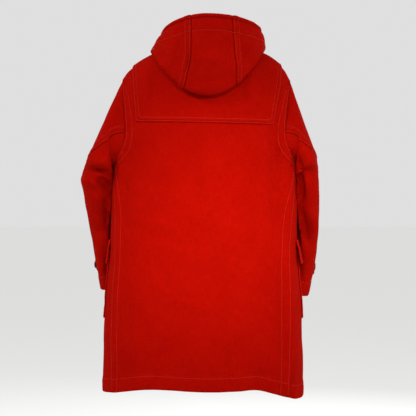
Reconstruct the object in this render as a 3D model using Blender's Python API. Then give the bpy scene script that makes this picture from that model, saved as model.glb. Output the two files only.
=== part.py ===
"""A hooded wool duffle coat that hangs filled out, as on its wearer, cut and sewn from flat pieces of thick cloth.

Frame: metres, +Z up, the front faces -Y and the wearer's left is +X. The origin is on the middle line between the
shoulders, at the height where the coat bears on them. Tables and named sizes are in millimetres.

The body, the sleeves and the hood are each one smooth surface, given by a short table of rings. A piece of cloth is a
patch of that surface with a thickness, and what lies on a panel is made from the same surface, moved out.
"""

from collections import namedtuple

import bmesh
import bpy
import numpy as np

MM = 0.001
CLOTH = 2.5  # thickness of the double-faced wool
SEAM_GAP = 0.5  # between the edges of two pieces sewn together
ARMHOLE_GAP = 1.0
LAP = 16.0  # width of a lapped seam, between its two rows of stitching
LAP_RISE = 1.1  # how far the doubled cloth of a lapped seam stands up
LAP_STEP = 3.0  # width of the step down from a lapped seam

# ---------------------------------------------------------------- the body

# Rings of the body's outer face, from the hem up. left, right, back and front are the half sizes, and the *_z columns
# are the heights at those four places. square fills out the corners of the oval. The seam columns give the side
# seams' places, in degrees round from each side towards the back.
Girth = namedtuple("Girth", "left right back front left_z right_z back_z front_z square left_seam right_seam")
GIRTHS = (
    Girth(291, 269, 118, 132, -941, -958, -924, -944, 0.10, 27, 38),  # hem
    Girth(290, 268, 116, 131, -816, -820, -806, -816, 0.11, 26, 36),
    Girth(284, 263, 114, 130, -690, -690, -684, -690, 0.12, 24, 34),
    Girth(272, 253, 112, 128, -560, -560, -557, -560, 0.12, 22, 30),
    Girth(268, 252, 111, 125, -430, -430, -430, -430, 0.12, 19, 25),
    Girth(264, 251, 112, 123, -310, -306, -312, -312, 0.12, 8, 10),  # under the arm
    Girth(265, 255, 114, 121, -238, -236, -258, -262, 0.12, 4, 5),
    Girth(258, 250, 114, 117, -158, -158, -203, -215, 0.11, 2, 2),
    Girth(236, 232, 110, 110, -74, -77, -144, -163, 0.09, 0, 0),  # top of the armhole
    Girth(204, 206, 102, 101, -36, -34, -92, -128, 0.07, 0, 0),
    Girth(150, 152, 88, 88, -6, 0, -42, -98, 0.04, 0, 0),
    Girth(80, 80, 68, 73, 20, 20, 6, -68, 0.00, 0, 0),  # neckline
)
HEM, UNDERARM, ARMHOLE_TOP, NECK = 0, 5, 8, 11

# Soft folds that hang in the body and deepen towards the hem.
Fold = namedtuple("Fold", "angle width top depth")
BODY_FOLDS = (
    Fold(angle=52, width=13, top=4.5, depth=6),
    Fold(angle=72, width=10, top=3.0, depth=-5),
    Fold(angle=101, width=12, top=3.6, depth=5),
    Fold(angle=124, width=9, top=6.4, depth=-6),
    Fold(angle=146, width=9, top=5.2, depth=7),
    Fold(angle=-38, width=14, top=4.2, depth=6),
    Fold(angle=-60, width=10, top=3.4, depth=-5),
    Fold(angle=-122, width=11, top=3.6, depth=-5),
    Fold(angle=-143, width=13, top=4.4, depth=6),
)

ARMHOLE_BACK, ARMHOLE_FRONT = 32.0, 36.0  # how far round the body the armhole reaches, in degrees
OVERLAP = 36.0  # how far each front passes the centre line
TUCK_OUT = 84.0  # distance from the centre line where the under front starts to dip below the upper one

# ---------------------------------------------------------------- the sleeves

# Rings of a sleeve below the armhole. out_x, out_z and in_x, in_z are the ring's outer and inner points, y its
# middle, half_depth half its size front to back, and pitch the forward lean of its plane in degrees.
Cuff = namedtuple("Cuff", "out_x out_z in_x in_z y half_depth pitch")
LEFT_SLEEVE = (
    Cuff(258, -124, 270, -320, 0, 70, 0),
    Cuff(284, -180, 268, -329, -2, 74, 0),
    Cuff(311, -240, 264, -338, -5, 75, 0),
    Cuff(335, -296, 260, -348, -10, 74, 4),
    Cuff(352, -342, 256, -366, -18, 71, 9),  # elbow
    Cuff(346, -402, 256, -414, -36, 68, 13),
    Cuff(337, -468, 256, -475, -62, 66, 13),
    Cuff(328, -534, 256, -539, -90, 64, 11),
    Cuff(319, -598, 254, -597, -115, 62, 8),
    Cuff(309, -664, 248, -657, -134, 60, 4),  # wrist
)
RIGHT_SLEEVE = (
    Cuff(248, -127, 258, -319, 0, 70, 0),
    Cuff(267, -180, 255, -329, -2, 74, 0),
    Cuff(289, -238, 250, -338, -5, 75, 0),
    Cuff(306, -293, 246, -349, -9, 75, 3),
    Cuff(313, -348, 242, -367, -17, 74, 7),  # elbow
    Cuff(317, -410, 240, -419, -35, 71, 10),
    Cuff(318, -472, 240, -479, -60, 69, 11),
    Cuff(316, -540, 240, -544, -90, 67, 10),
    Cuff(309, -608, 238, -606, -117, 64, 7),
    Cuff(295, -682, 234, -672, -136, 61, 4),  # wrist
)
WRIST = len(LEFT_SLEEVE)

# Seams of the two-piece sleeve, in degrees round from its outer line towards the back, at the armhole, where the
# sleeve turns at the elbow, and at the wrist.
SleeveSeam = namedtuple("SleeveSeam", "armhole first second third fourth elbow wrist")
SEAM_STOPS = (0, 1, 2, 3, 4, 5.5, 10)  # where along the sleeve these angles are
BACK_SEAM = SleeveSeam(armhole=97, first=95, second=85, third=60, fourth=12, elbow=-8, wrist=-24)
FRONT_SEAM = SleeveSeam(armhole=-112.5, first=-116, second=-120, third=-126, fourth=-132, elbow=-138, wrist=-148)

SLEEVE_ROWS = (0, 0.3, 0.9, 1.5, 2.1, 2.7, 3.2, 3.7, 4.1, 4.5, 4.9, 5.4, 6.1, 6.9, 7.8, 8.9, 10)  # closest at the elbow

# Where a sleeve hangs against the body its cloth is pressed out of the way: (height, distance kept) pairs, which
# leave room for the pocket flaps.
LEFT_REST = ((-680, 15.0), (-600, 15.0), (-530, 10.0), (-480, 4.0), (-380, 3.5), (-345, 3.5))
RIGHT_REST = ((-680, 20.0), (-600, 20.0), (-530, 13.0), (-480, 5.0), (-380, 3.5), (-345, 3.5))

# Creases across the sleeve. place is along its rings, slope leans the crease, half_turn is how far it reaches
# round, and a positive depth stands out.
Crease = namedtuple("Crease", "place angle half_turn slope width depth")
LEFT_CREASES = (
    Crease(place=4.05, angle=80, half_turn=85, slope=-0.46, width=0.36, depth=-13),
    Crease(place=3.50, angle=90, half_turn=75, slope=-0.40, width=0.42, depth=7),
    Crease(place=4.95, angle=120, half_turn=50, slope=0.45, width=0.36, depth=-7),
    Crease(place=5.10, angle=40, half_turn=55, slope=0.10, width=0.34, depth=4),
    Crease(place=4.40, angle=-100, half_turn=70, slope=0.20, width=0.42, depth=-7),
    Crease(place=7.30, angle=70, half_turn=60, slope=-0.50, width=0.50, depth=-4),
)
RIGHT_CREASES = (
    Crease(place=4.35, angle=90, half_turn=80, slope=-0.05, width=0.36, depth=-11),
    Crease(place=3.80, angle=95, half_turn=75, slope=0.00, width=0.42, depth=6),
    Crease(place=5.90, angle=80, half_turn=75, slope=-0.80, width=0.42, depth=-6),
    Crease(place=6.70, angle=80, half_turn=60, slope=-0.60, width=0.50, depth=4),
    Crease(place=4.60, angle=-100, half_turn=70, slope=0.20, width=0.42, depth=-7),
)

# ---------------------------------------------------------------- the hood, hanging down the back

# Rings of the hood's outer face, from the neck seam over the roll, down the back, round the fold and up to the rim.
# mid moves a ring towards the back.
HoodRing = namedtuple("HoodRing", "left right back front mid left_z right_z back_z front_z square")
HOOD = (
    HoodRing(80, 80, 68, 73, 0, 20, 20, 6, -68, 0.00),  # neck seam, moved onto the neckline by the code
    HoodRing(83, 83, 73, 77, 0, 36, 36, 26, -56, 0.00),
    HoodRing(92, 92, 87, 86, 2, 46, 46, 42, -50, 0.02),  # top of the roll
    HoodRing(110, 112, 99, 94, 6, 38, 38, 16, -54, 0.04),
    HoodRing(128, 131, 104, 98, 8, 23, 22, -50, -66, 0.07),
    HoodRing(145, 152, 112, 103, 10, 7, 10, -122, -78, 0.10),
    HoodRing(157, 163, 134, 114, 10, 5, 13, -120, -91, 0.10),  # turned up round the fold
    HoodRing(148, 161, 153, 126, 10, 22, 29, -62, -101, 0.10),
    HoodRing(136, 156, 158, 130, 9, 40, 48, 14, -104, 0.09),
    HoodRing(122, 146, 146, 131, 7, 56, 66, 87, -107, 0.08),  # rim
)
RIM = len(HOOD) - 1
HOOD_SEAM_STOPS = (0, 5.5, 7.5, 9)  # where along the hood the seams of its centre strip have these angles,
HOOD_LEFT_SEAM, HOOD_RIGHT_SEAM = (66, 67, 74, 71), (64, 62, 64, 64)  # in degrees round from each side
HOOD_END = -86.0  # where the hood stops at the throat, just short of the centre line

# ---------------------------------------------------------------- yoke, pockets, straps and fastenings

YOKE_LAY = 2.0  # clear of the shoulders, whose facets are larger
LAY = 0.9  # clear of the cloth below, whose facets bulge a little between their corners
YOKE_BACK_Z, YOKE_FRONT_Z = -200.0, -150.0  # lower edges of the shoulder yoke
YOKE_BACK_SLOPE = 0.022  # its back edge is lower at the wearer's right
YOKE_SIDE = ((-200.0, 193.0, 184.0), (-40.0, 207.0, 208.0))  # heights, and how far out its left and right edges are
YOKE_FRONT_X = 64.0  # distance of its front edges from the centre line

# Pockets and their flaps. back is where the back edge is, in degrees round from the side towards the back, puff how
# far the middle stands away from the front, and flare how far the flap's free edge springs out.
Pocket = namedtuple("Pocket", "back flap_back puff flare")
LEFT_POCKET = Pocket(back=5, flap_back=10, puff=1.2, flare=1.4)
RIGHT_POCKET = Pocket(back=7, flap_back=15, puff=2.8, flare=5.0)
POCKET_WIDTH, POCKET_TOP_Z, POCKET_FOOT_Z = 180.0, -550.0, -737.0
FLAP_WIDTH, FLAP_TOP_Z, FLAP_FOOT_Z = 192.0, -520.0, -586.0

STRAP_HEIGHT, STRAP_PLACE = 32.0, 9.0  # cuff strap, and the ring of the sleeve that its middle follows
STRAP_START, STRAP_END = -139.0, -1.0  # degrees round the sleeve
BUTTON_TURN_LEFT, BUTTON_TURN_RIGHT = -12.0, -24.0
BUTTON = ((0.0, 8.2), (0.8, 9.3), (2.9, 9.3), (3.9, 8.2), (3.1, 5.6))  # (distance from its back, radius)

TOGGLE_Z = (-214.0, -344.0, -474.0, -604.0)
TOGGLE_X = -16.0
TOGGLE_LIFT = 12.6  # its middle above the cloth
TOGGLE = (
    (-29.0, 2.6), (-27.0, 4.6), (-20.0, 6.4), (-12.0, 7.2), (-8.0, 6.6), (-5.4, 3.4),
    (5.4, 3.4), (8.0, 6.6), (12.0, 7.2), (20.0, 6.4), (27.0, 4.6), (29.0, 2.6),
)  # (distance along it, radius)
CORD_RADIUS = 2.1
# Routes as (distance from the centre line towards the wearer's left, distance up, lift above the cloth).
TOGGLE_CORD = (
    (-92, 2.4, 2.8), (-60, 2.4, 2.8), (-31, 2.4, 2.8), (-25, 2.4, 3.7), (-20, 2.3, 6.2), (-16, 2.0, 6.8),
    (-11.9, 1.4, 8.5), (-10.2, 0.5, 12.6), (-11.9, -0.5, 16.7), (-16, -1.3, 18.4), (-20.1, -2.0, 16.7),
    (-21.9, -2.3, 12.6), (-22.6, -2.4, 8.0), (-26, -2.4, 4.4), (-32, -2.4, 2.8), (-60, -2.4, 2.8), (-92, -2.4, 2.8),
)
LOOP_CORD = (
    (92, 7.0, 2.8), (55, 7.0, 2.8), (15, 7.0, 2.8), (-18, 7.0, 2.8), (-27, 7.0, 4.6), (-33, 6.2, 6.9),
    (-37.2, 4.0, 7.5), (-39, 0.0, 7.6), (-37.2, -4.0, 7.5), (-33, -6.2, 6.9), (-27, -7.0, 4.6), (-18, -7.0, 2.8),
    (15, -7.0, 2.8), (55, -7.0, 2.8), (92, -7.0, 2.8),
)
PATCH_ACROSS = (78.0, 86.0, 94.5, 104.0, 119.0)  # distances of a patch's points from the centre line
PATCH_HALF_HEIGHT, PATCH_THICK, PATCH_RISE = 19.0, 1.8, 5.4

RED_WOOL = ("red_wool", (0.50, 0.012, 0.010), 0.92)
DARK_LEATHER = ("dark_leather", (0.030, 0.016, 0.011), 0.55)
DARK_HORN = ("dark_horn", (0.028, 0.018, 0.013), 0.32)


# ---------------------------------------------------------------- reading the tables


def through(table, place):
    """A table's rows joined by one smooth curve (Catmull-Rom). place 0 is the first row, 1 the second, and so on."""
    table = np.asarray(table, float)
    place = np.clip(np.asarray(place, float), 0, len(table) - 1)
    low = np.minimum(place.astype(int), len(table) - 2)
    t = (place - low)[..., None]
    padded = np.vstack([2 * table[0] - table[1], table, 2 * table[-1] - table[-2]])
    a, b, c, d = (padded[low + step] for step in range(4))
    return 0.5 * (2 * b + (c - a) * t + (2 * a - 5 * b + 4 * c - d) * t**2 + (3 * b - a - 3 * c + d) * t**3)


def smooth(x):
    """0 below 0, 1 above 1, and a smooth rise between."""
    x = np.clip(x, 0, 1)
    return x * x * (3 - 2 * x)


def bell(x):
    """1 at 0, falling smoothly to nothing a little past 2 on each side."""
    return np.exp(-(x**2))


def oval(left, right, back, front, left_z, right_z, back_z, front_z, square, angle):
    """Points of a ring at these angles: 0 is the wearer's left, 90 degrees the centre back, -90 the centre front."""
    cos, sin = np.cos(angle), np.sin(angle)
    x = np.where(cos > 0, left, right) * cos * (1 + square * sin**2)
    y = np.where(sin > 0, back, front) * sin * (1 + square * cos**2)
    side_z = np.where(cos > 0, left_z, right_z)
    end_z = np.where(sin > 0, back_z, front_z)
    return np.stack([x, y, side_z + (end_z - side_z) * sin**2], axis=-1)


def body(angle, place):
    """The outer face of the body, with its folds."""
    angle, place = np.broadcast_arrays(np.asarray(angle, float), np.asarray(place, float))
    columns = np.moveaxis(through(GIRTHS, place), -1, 0)
    points = oval(*columns[:9], angle)
    degrees = np.degrees(np.angle(np.exp(1j * angle)))
    out = np.zeros_like(place)
    for fold in BODY_FOLDS:
        grown = smooth((fold.top - place) / fold.top)
        out = out + fold.depth * grown * bell((degrees - fold.angle) / fold.width)
    points[..., 0] += out * np.cos(angle)
    points[..., 1] += out * np.sin(angle)
    return points


def hood(angle, place):
    """The outer face of the hood. Its first ring stands just above the yoke's edge at the neckline."""
    angle, place = np.broadcast_arrays(np.asarray(angle, float), np.asarray(place, float))
    left, right, back, front, mid, *rest = np.moveaxis(through(HOOD, place), -1, 0)
    points = oval(left, right, back, front, *rest, angle)
    points[..., 1] += mid
    return points


def normals(surface, angle, place, step_angle=2e-3, step_place=4e-3):
    """Unit normals of a surface, pointing away from its inside."""
    across = surface(angle + step_angle, place) - surface(angle - step_angle, place)
    along = surface(angle, place + step_place) - surface(angle, place - step_place)
    found = np.cross(across, along)
    return found / np.linalg.norm(found, axis=-1, keepdims=True)


def lifted(surface, angle, place, lift):
    """Points of a surface moved out along its normals."""
    angle, place = np.broadcast_arrays(np.asarray(angle, float), np.asarray(place, float))
    return surface(angle, place) + normals(surface, angle, place) * np.asarray(lift)[..., None]


# ---------------------------------------------------------------- making solids


def material(name, colour, roughness):
    """The named material, made once."""
    found = bpy.data.materials.get(name)
    if found is None:
        found = bpy.data.materials.new(name)
        found.use_nodes = True
        shader = found.node_tree.nodes["Principled BSDF"]
        shader.inputs["Base Color"].default_value = (*colour, 1.0)
        shader.inputs["Roughness"].default_value = roughness
    return found


def add_object(name, vertices, faces, finish):
    """A closed mesh as an object, its faces turned outwards."""
    mesh = bpy.data.meshes.new(name)
    mesh.from_pydata((np.asarray(vertices) * MM).tolist(), [], [list(map(int, face)) for face in faces])
    work = bmesh.new()
    work.from_mesh(mesh)
    bmesh.ops.recalc_face_normals(work, faces=work.faces)
    bmesh.ops.triangulate(work, faces=work.faces)  # twisted quads are split the way that bends them least
    work.to_mesh(mesh)
    work.free()
    mesh.shade_smooth()
    mesh.set_sharp_from_angle(angle=np.radians(50))
    mesh.materials.append(material(*finish))
    made = bpy.data.objects.new(name, mesh)
    bpy.context.scene.collection.objects.link(made)
    return made


def quads(rows, columns, start, ring):
    """Faces of a grid whose points start at this number. ring closes each row on itself."""
    row, column = np.meshgrid(np.arange(rows - 1), np.arange(columns if ring else columns - 1), indexing="ij")
    after = (column + 1) % columns
    corners = (row * columns + column, row * columns + after, (row + 1) * columns + after, (row + 1) * columns + column)
    return np.stack(corners, axis=-1).reshape(-1, 4) + start


def border(rows, columns):
    """Numbers of a grid's outline points, in order."""
    grid = np.arange(rows * columns).reshape(rows, columns)
    return np.concatenate([grid[0], grid[1:, -1], grid[-1, -2::-1], grid[-2:0:-1, 0]])


def cloth(name, outer, inner, finish=RED_WOOL):
    """A wall between two grids of points of the same size: its two faces and the edge that joins them."""
    rows, columns = outer.shape[:2]
    count = rows * columns
    rim = border(rows, columns)
    after = np.roll(rim, -1)
    edge = np.stack([rim, after, after + count, rim + count], axis=-1)
    faces = [*quads(rows, columns, 0, False), *quads(rows, columns, count, False)[:, ::-1], *edge]
    return add_object(name, np.concatenate([outer.reshape(-1, 3), inner.reshape(-1, 3)]), faces, finish)


def turned(name, profile, centre, axis, across, sides, finish):
    """A solid turned about an axis. profile lists (distance along the axis, radius)."""
    axis, across = np.asarray(axis, float), np.asarray(across, float)
    third = np.cross(axis, across)
    turn = np.linspace(0, 2 * np.pi, sides, endpoint=False)
    ring = np.cos(turn)[:, None] * across + np.sin(turn)[:, None] * third
    points = np.array([np.asarray(centre) + axis * along + ring * radius for along, radius in profile])
    count = len(profile) * sides
    faces = [*quads(len(profile), sides, 0, True), np.arange(sides), np.arange(count - sides, count)]
    return add_object(name, points.reshape(-1, 3), faces, finish)


def cord(name, route, radius, sides, finish):
    """A round cord along a list of points."""
    route = np.asarray(route, float)
    ahead = np.gradient(route, axis=0)
    ahead /= np.linalg.norm(ahead, axis=1, keepdims=True)
    side = np.cross(ahead, (0.0, 1.0, 0.0))
    for i in range(len(side)):  # carried along, so that the cord doesn't twist
        if i:
            side[i] = side[i - 1] - ahead[i] * np.dot(side[i - 1], ahead[i])
        side[i] /= np.linalg.norm(side[i])
    up = np.cross(side, ahead)
    turn = np.linspace(0, 2 * np.pi, sides, endpoint=False)[None, :, None]
    points = route[:, None] + radius * (np.cos(turn) * side[:, None] + np.sin(turn) * up[:, None])
    count = len(route) * sides
    faces = [*quads(len(route), sides, 0, True), np.arange(sides), np.arange(count - sides, count)]
    return add_object(name, points.reshape(-1, 3), faces, finish)


# ---------------------------------------------------------------- body panels


def edge_columns(count, width, start_lap, end_lap):
    """Shares across a panel of this width, for each row, with extra columns at the steps of its lapped seams."""
    width = np.asarray(width, float)[:, None]
    start = np.array([0, LAP, LAP + LAP_STEP]) if start_lap else np.array([0.0])
    end = np.array([LAP + LAP_STEP, LAP, 0]) if end_lap else np.array([0.0])
    low, high = start[-1] / width, 1 - end[0] / width
    middle = low + (high - low) * np.linspace(0, 1, count)
    return np.hstack([start[:-1] / width, middle, 1 - end[1:] / width])


def arm_places(count):
    """Places from under the arm to the top of the armhole, close together where the armhole turns."""
    middle, reach = (UNDERARM + ARMHOLE_TOP) / 2, (ARMHOLE_TOP - UNDERARM) / 2
    return middle - reach * np.cos(np.linspace(0, np.pi, count))


def body_places():
    """The rows that the body's panels share, from the hem to the neck."""
    low = np.linspace(HEM, UNDERARM, 9)
    high = np.linspace(ARMHOLE_TOP, NECK, 8)
    return np.concatenate([low[:-1], arm_places(9), high[1:]])


def armhole_reach(place):
    """How far the armhole spreads at this place, as a share of its widest, along a half circle."""
    middle, reach = (UNDERARM + ARMHOLE_TOP) / 2, (ARMHOLE_TOP - UNDERARM) / 2
    return np.sqrt(np.clip(1 - ((place - middle) / reach) ** 2, 0, 1))


def side_seam(place, left):
    """Angle of a side seam, or of the line through the middle of the armhole above it, from the wearer's left."""
    girths = through(GIRTHS, place)
    turn = np.radians(girths[..., 9 if left else 10])
    return turn if left else np.pi - turn


def armhole_edge(place, left, to_back):
    """Angle of a panel's edge at the side: the seam, the armhole or the shoulder line."""
    reach = np.radians(ARMHOLE_BACK if to_back else -ARMHOLE_FRONT) * armhole_reach(place)
    return side_seam(place, left) + (reach if left else -reach)


def front_edge(place, left, distance):
    """Angle on the front at this distance past the centre line, on the far side of it for a positive distance."""
    girths = through(GIRTHS, place)
    half = girths[..., 1 if left else 0]
    past = np.arcsin(np.clip(distance / half, -1, 1))
    return np.where(left, -np.pi / 2 - past, -np.pi / 2 + past)


def widths(surface, start, end, place):
    """Length across a panel at each row, measured along the surface."""
    share = np.linspace(0, 1, 25)
    angle = start[:, None] + (end - start)[:, None] * share
    points = surface(angle, place[:, None])
    return np.linalg.norm(np.diff(points, axis=1), axis=2).sum(axis=1)


def lap_lift(columns, width, start_lap, end_lap, fade):
    """How far each point of a panel stands up over its lapped seams. fade, 0 to 1 for each row, ends them."""
    distance_start = columns * width[:, None]
    distance_end = (1 - columns) * width[:, None]
    lift = np.zeros_like(columns)
    if start_lap:
        lift = np.maximum(lift, distance_start < LAP + 0.5)
    if end_lap:
        lift = np.maximum(lift, distance_end < LAP + 0.5)
    return lift * LAP_RISE * fade[:, None]


def build_back():
    """The back, from one side seam and armhole to the other, up to the shoulder lines and the neck."""
    place = body_places()
    start = armhole_edge(place, True, True)
    end = armhole_edge(place, False, True)
    trim = SEAM_GAP / 2 / 60.0  # half the seam gap, as an angle at the sides
    start, end = start + trim, end - trim
    width = widths(body, start, end, place)
    columns = edge_columns(17, width, True, True)
    angle = start[:, None] + (end - start)[:, None] * columns
    fade = 1 - smooth((place - ARMHOLE_TOP) / 0.5)
    lift = lap_lift(columns, width, True, True, fade)
    rows = place[:, None] + 0 * angle
    cloth("back", lifted(body, angle, rows, lift), lifted(body, angle, rows, -CLOTH + 0 * lift))


def under_front(x):
    """How far the right front dips so that the left front can lie over it."""
    return -(CLOTH + 0.5) * smooth((x + TUCK_OUT) / (TUCK_OUT - OVERLAP - 14))


def build_front(left):
    """A front, from its side seam and armhole to its edge past the centre line. The left one lies on top."""
    place = body_places()
    start = armhole_edge(place, left, False)
    end = front_edge(place, left, OVERLAP)
    if not left:
        start = start - 2 * np.pi
    trim = SEAM_GAP / 2 / 60.0
    start = start - trim if left else start + trim
    columns = edge_columns(17, widths(body, start, end, place), False, False)
    angle = start[:, None] + (end - start)[:, None] * columns
    rows = place[:, None] + 0 * angle
    points = body(angle, rows)
    lift = 0 * angle if left else under_front(points[..., 0])
    name = "front_left" if left else "front_right"
    cloth(name, lifted(body, angle, rows, lift), lifted(body, angle, rows, lift - CLOTH))


# ---------------------------------------------------------------- sleeves


def armhole_ring(turn, left):
    """Angle and place on the body of the armhole, at these turns round the sleeve: 0 at the top, 90 degrees at the
    back, 180 under the arm."""
    middle, reach = (UNDERARM + ARMHOLE_TOP) / 2, (ARMHOLE_TOP - UNDERARM) / 2
    place = middle + reach * np.cos(turn)
    spread = np.radians(np.where(np.sin(turn) > 0, ARMHOLE_BACK, ARMHOLE_FRONT)) * np.sin(turn)
    angle = side_seam(place, left) + (spread if left else -spread)
    return angle, place


def armhole_points(turn, left):
    """Outer points of the armhole's edge and the cloth's directions there, straight between the panels' corners."""
    corners = np.linspace(-2 * np.pi, 4 * np.pi, 49)
    angle, place = armhole_ring(corners, left)
    flat = np.asarray(turn, float).ravel()
    found = [
        np.stack([np.interp(flat, corners, column) for column in values.T], axis=-1).reshape(*np.shape(turn), 3)
        for values in (body(angle, place), normals(body, angle, place))
    ]
    return found


def body_half_width(y, z, left):
    """How far out the body reaches at this depth and height. It's nothing in front of it and behind it."""
    place = np.interp(z, [girth.left_z for girth in GIRTHS], np.arange(len(GIRTHS)))
    turn = np.zeros_like(place)
    for _ in range(6):
        columns = np.moveaxis(through(GIRTHS, place), -1, 0)
        half_x, square = columns[0 if left else 1], columns[8]
        half_y = np.where(y > 0, columns[2], columns[3])
        turn = np.arcsin(np.clip(y / (half_y * (1 + square * np.cos(turn) ** 2)), -1, 1))
        side_z, end_z = columns[4 if left else 5], np.where(y > 0, columns[6], columns[7])
        found = side_z + (end_z - side_z) * np.sin(turn) ** 2
        place = np.clip(place + (z - found) / 100.0, 0, ARMHOLE_TOP)
    reach = half_x * np.cos(turn) * (1 + square * np.sin(turn) ** 2)
    return reach


def sleeve_surface(left):
    """A sleeve's outer face as a function of the turn round it and the place along its rings."""
    side = 1 if left else -1
    table = np.asarray(LEFT_SLEEVE if left else RIGHT_SLEEVE, float)
    creases = LEFT_CREASES if left else RIGHT_CREASES

    def ring(number, turn):
        if number == 0:
            return armhole_points(turn, left)[0]
        out_x, out_z, in_x, in_z, y, half_depth, pitch = table[number - 1]
        cos, sin = np.cos(turn), np.sin(turn)
        square = 0.10
        along = cos * (1 + square * sin**2) / 2
        deep = half_depth * sin * (1 + square * cos**2)
        x = (out_x + in_x) / 2 + (out_x - in_x) * along
        z = (out_z + in_z) / 2 + (out_z - in_z) * along - deep * np.sin(np.radians(pitch))
        return np.stack([side * x, y + deep * np.cos(np.radians(pitch)), z], axis=-1)

    def surface(turn, place):
        turn, place = np.broadcast_arrays(np.asarray(turn, float), np.asarray(place, float))
        rings = np.array([ring(number, turn) for number in range(WRIST + 1)])
        low = np.clip(place.astype(int), 0, WRIST - 1)
        t = (place - low)[..., None]
        ends = (2 * rings[0] - rings[1], 2 * rings[-1] - rings[-2])
        padded = np.concatenate([ends[0][None], rings, ends[1][None]])
        a, b, c, d = (np.take_along_axis(padded, (low + step)[None, ..., None], axis=0)[0] for step in range(4))
        points = 0.5 * (2 * b + (c - a) * t + (2 * a - 5 * b + 4 * c - d) * t**2 + (3 * b - a - 3 * c + d) * t**3)
        centre = rings.mean(axis=0)
        middle_x = np.interp(place, np.arange(WRIST + 1), np.r_[240, (table[:, 0] + table[:, 2]) / 2])
        middle_y = np.interp(place, np.arange(WRIST + 1), np.r_[0, table[:, 4]])
        away = np.stack([points[..., 0] - side * middle_x, points[..., 1] - middle_y, 0 * centre[..., 0]], axis=-1)
        away /= np.maximum(np.linalg.norm(away, axis=-1, keepdims=True), 1e-9)
        degrees = np.degrees(np.angle(np.exp(1j * turn)))
        out = np.zeros_like(place)
        for crease in creases:
            off = np.degrees(np.angle(np.exp(1j * np.radians(degrees - crease.angle))))
            reach = smooth(1.25 - np.abs(off) / crease.half_turn)
            across = (place - crease.place - crease.slope * off / 60.0) / crease.width
            out = out + crease.depth * reach * bell(across)
        points = points + away * out[..., None]
        heights, kept = np.array(LEFT_REST if left else RIGHT_REST).T
        clear = np.interp(points[..., 2], heights, kept) * smooth(place / 0.5)
        limit = body_half_width(points[..., 1], points[..., 2], left) + clear
        reach = side * points[..., 0]
        soft = 5.0 * smooth(place / 0.8)
        points[..., 0] = side * (reach + limit + np.sqrt((reach - limit) ** 2 + soft**2)) / 2
        return points

    return surface


def seam_turn(seam, place):
    """Turn of a sleeve seam at this place along the sleeve."""
    return np.radians(np.interp(place, SEAM_STOPS, seam))


def sleeve_normals(surface, turn, place, left):
    """Outward normals of a sleeve. At the armhole they turn from the body's, at its top, to away from the armhole's
    middle, under the arm, where the sleeve's cloth bends down from the body's."""
    found = normals(surface, turn, np.clip(place, 0.01, WRIST - 0.01))
    at_elbow = normals(surface, np.array(0.0), np.array(5.0))[0]  # it points out, to the side
    found = found * np.sign(at_elbow * (1 if left else -1))
    edge, skin = armhole_points(turn, left)
    away = edge - armhole_points(np.linspace(0, 2 * np.pi, 16, endpoint=False), left)[0].mean(axis=0)
    away /= np.linalg.norm(away, axis=-1, keepdims=True)
    top = (1 + np.cos(turn))[..., None] / 2
    mixed = skin * top + away * (1 - top)
    mixed /= np.linalg.norm(mixed, axis=-1, keepdims=True)
    return np.where((place < 0.02)[..., None], mixed, found)


def sleeve_piece(name, left, start_seam, end_seam, count, lap_end):
    """One of the two pieces of a sleeve, between its two seams."""
    surface = sleeve_surface(left)
    place = np.array(SLEEVE_ROWS)
    start, end = seam_turn(start_seam, place), seam_turn(end_seam, place)
    if start_seam is BACK_SEAM:
        end = end + 2 * np.pi
    trim = SEAM_GAP / 2 / 18.0
    start, end = start + trim, end - trim
    columns = edge_columns(count, widths(surface, start, end, place), False, lap_end)
    turn = start[:, None] + (end - start)[:, None] * columns
    rows = place[:, None] + 0 * turn
    lift = lap_lift(columns, widths(surface, start, end, place), False, lap_end, np.ones(len(place)))
    points = surface(turn, rows)
    outwards = sleeve_normals(surface, turn, rows, left)
    past = armhole_points(np.linspace(0, 2 * np.pi, 33), left)[0].mean(axis=0) - points[0]
    skin = outwards[0]
    past = past - skin * np.sum(past * skin, axis=-1, keepdims=True)
    points[0] += ARMHOLE_GAP * past / np.linalg.norm(past, axis=-1, keepdims=True)
    outer = points + outwards * lift[..., None]
    cloth(name, outer, points - outwards * CLOTH)


# ---------------------------------------------------------------- hood


def hood_piece(name, start, end, count, start_lap, end_lap):
    """A panel of the hood between two seams, given by their angles at HOOD_SEAM_STOPS, from the neck to the rim."""
    place = np.concatenate([[0, 0.5], np.linspace(1, RIM, 17)])
    start, end = (np.radians(np.interp(place, HOOD_SEAM_STOPS, angles)) for angles in (start, end))
    width = widths(hood, start, end, place)
    trim = np.where(width > 1, SEAM_GAP / 2 / width, 0) * (end - start)
    start, end = start + trim, end - trim
    columns = edge_columns(count, width, start_lap, end_lap)
    turned_round = columns**1.15 if end_lap else 1 - (1 - columns) ** 1.15 if start_lap else columns
    angle = start[:, None] + (end - start)[:, None] * turned_round  # closer at the front, where the hood twists
    rows = place[:, None] + 0 * angle
    lift = lap_lift(turned_round, width, start_lap, end_lap, np.ones(len(place)))
    points = hood(angle, rows)
    outwards = normals(hood, angle, np.clip(rows, 0.01, RIM - 0.01))
    points[0] += stand_off(angle[0])
    cloth(name, points + outwards * lift[..., None], points - outwards * CLOTH)


def stand_off(angle):
    """What carries the hood's foot from the body's neckline onto the cloth that ends there."""
    at_neck = np.full_like(angle, NECK - 0.01)
    skin = normals(body, angle, at_neck)
    ahead = body(angle, at_neck + 0.01) - body(angle, at_neck - 0.1)
    ahead /= np.linalg.norm(ahead, axis=-1, keepdims=True)
    points = body(angle, at_neck)
    on_yoke = smooth((np.abs(points[:, 0]) - 42) / 18) + (points[:, 1] > 0)
    rise = (CLOTH + YOKE_LAY) * np.minimum(on_yoke, 1)
    return skin * rise[:, None] + ahead * 2 * SEAM_GAP


# ---------------------------------------------------------------- yoke, pockets and straps


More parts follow.
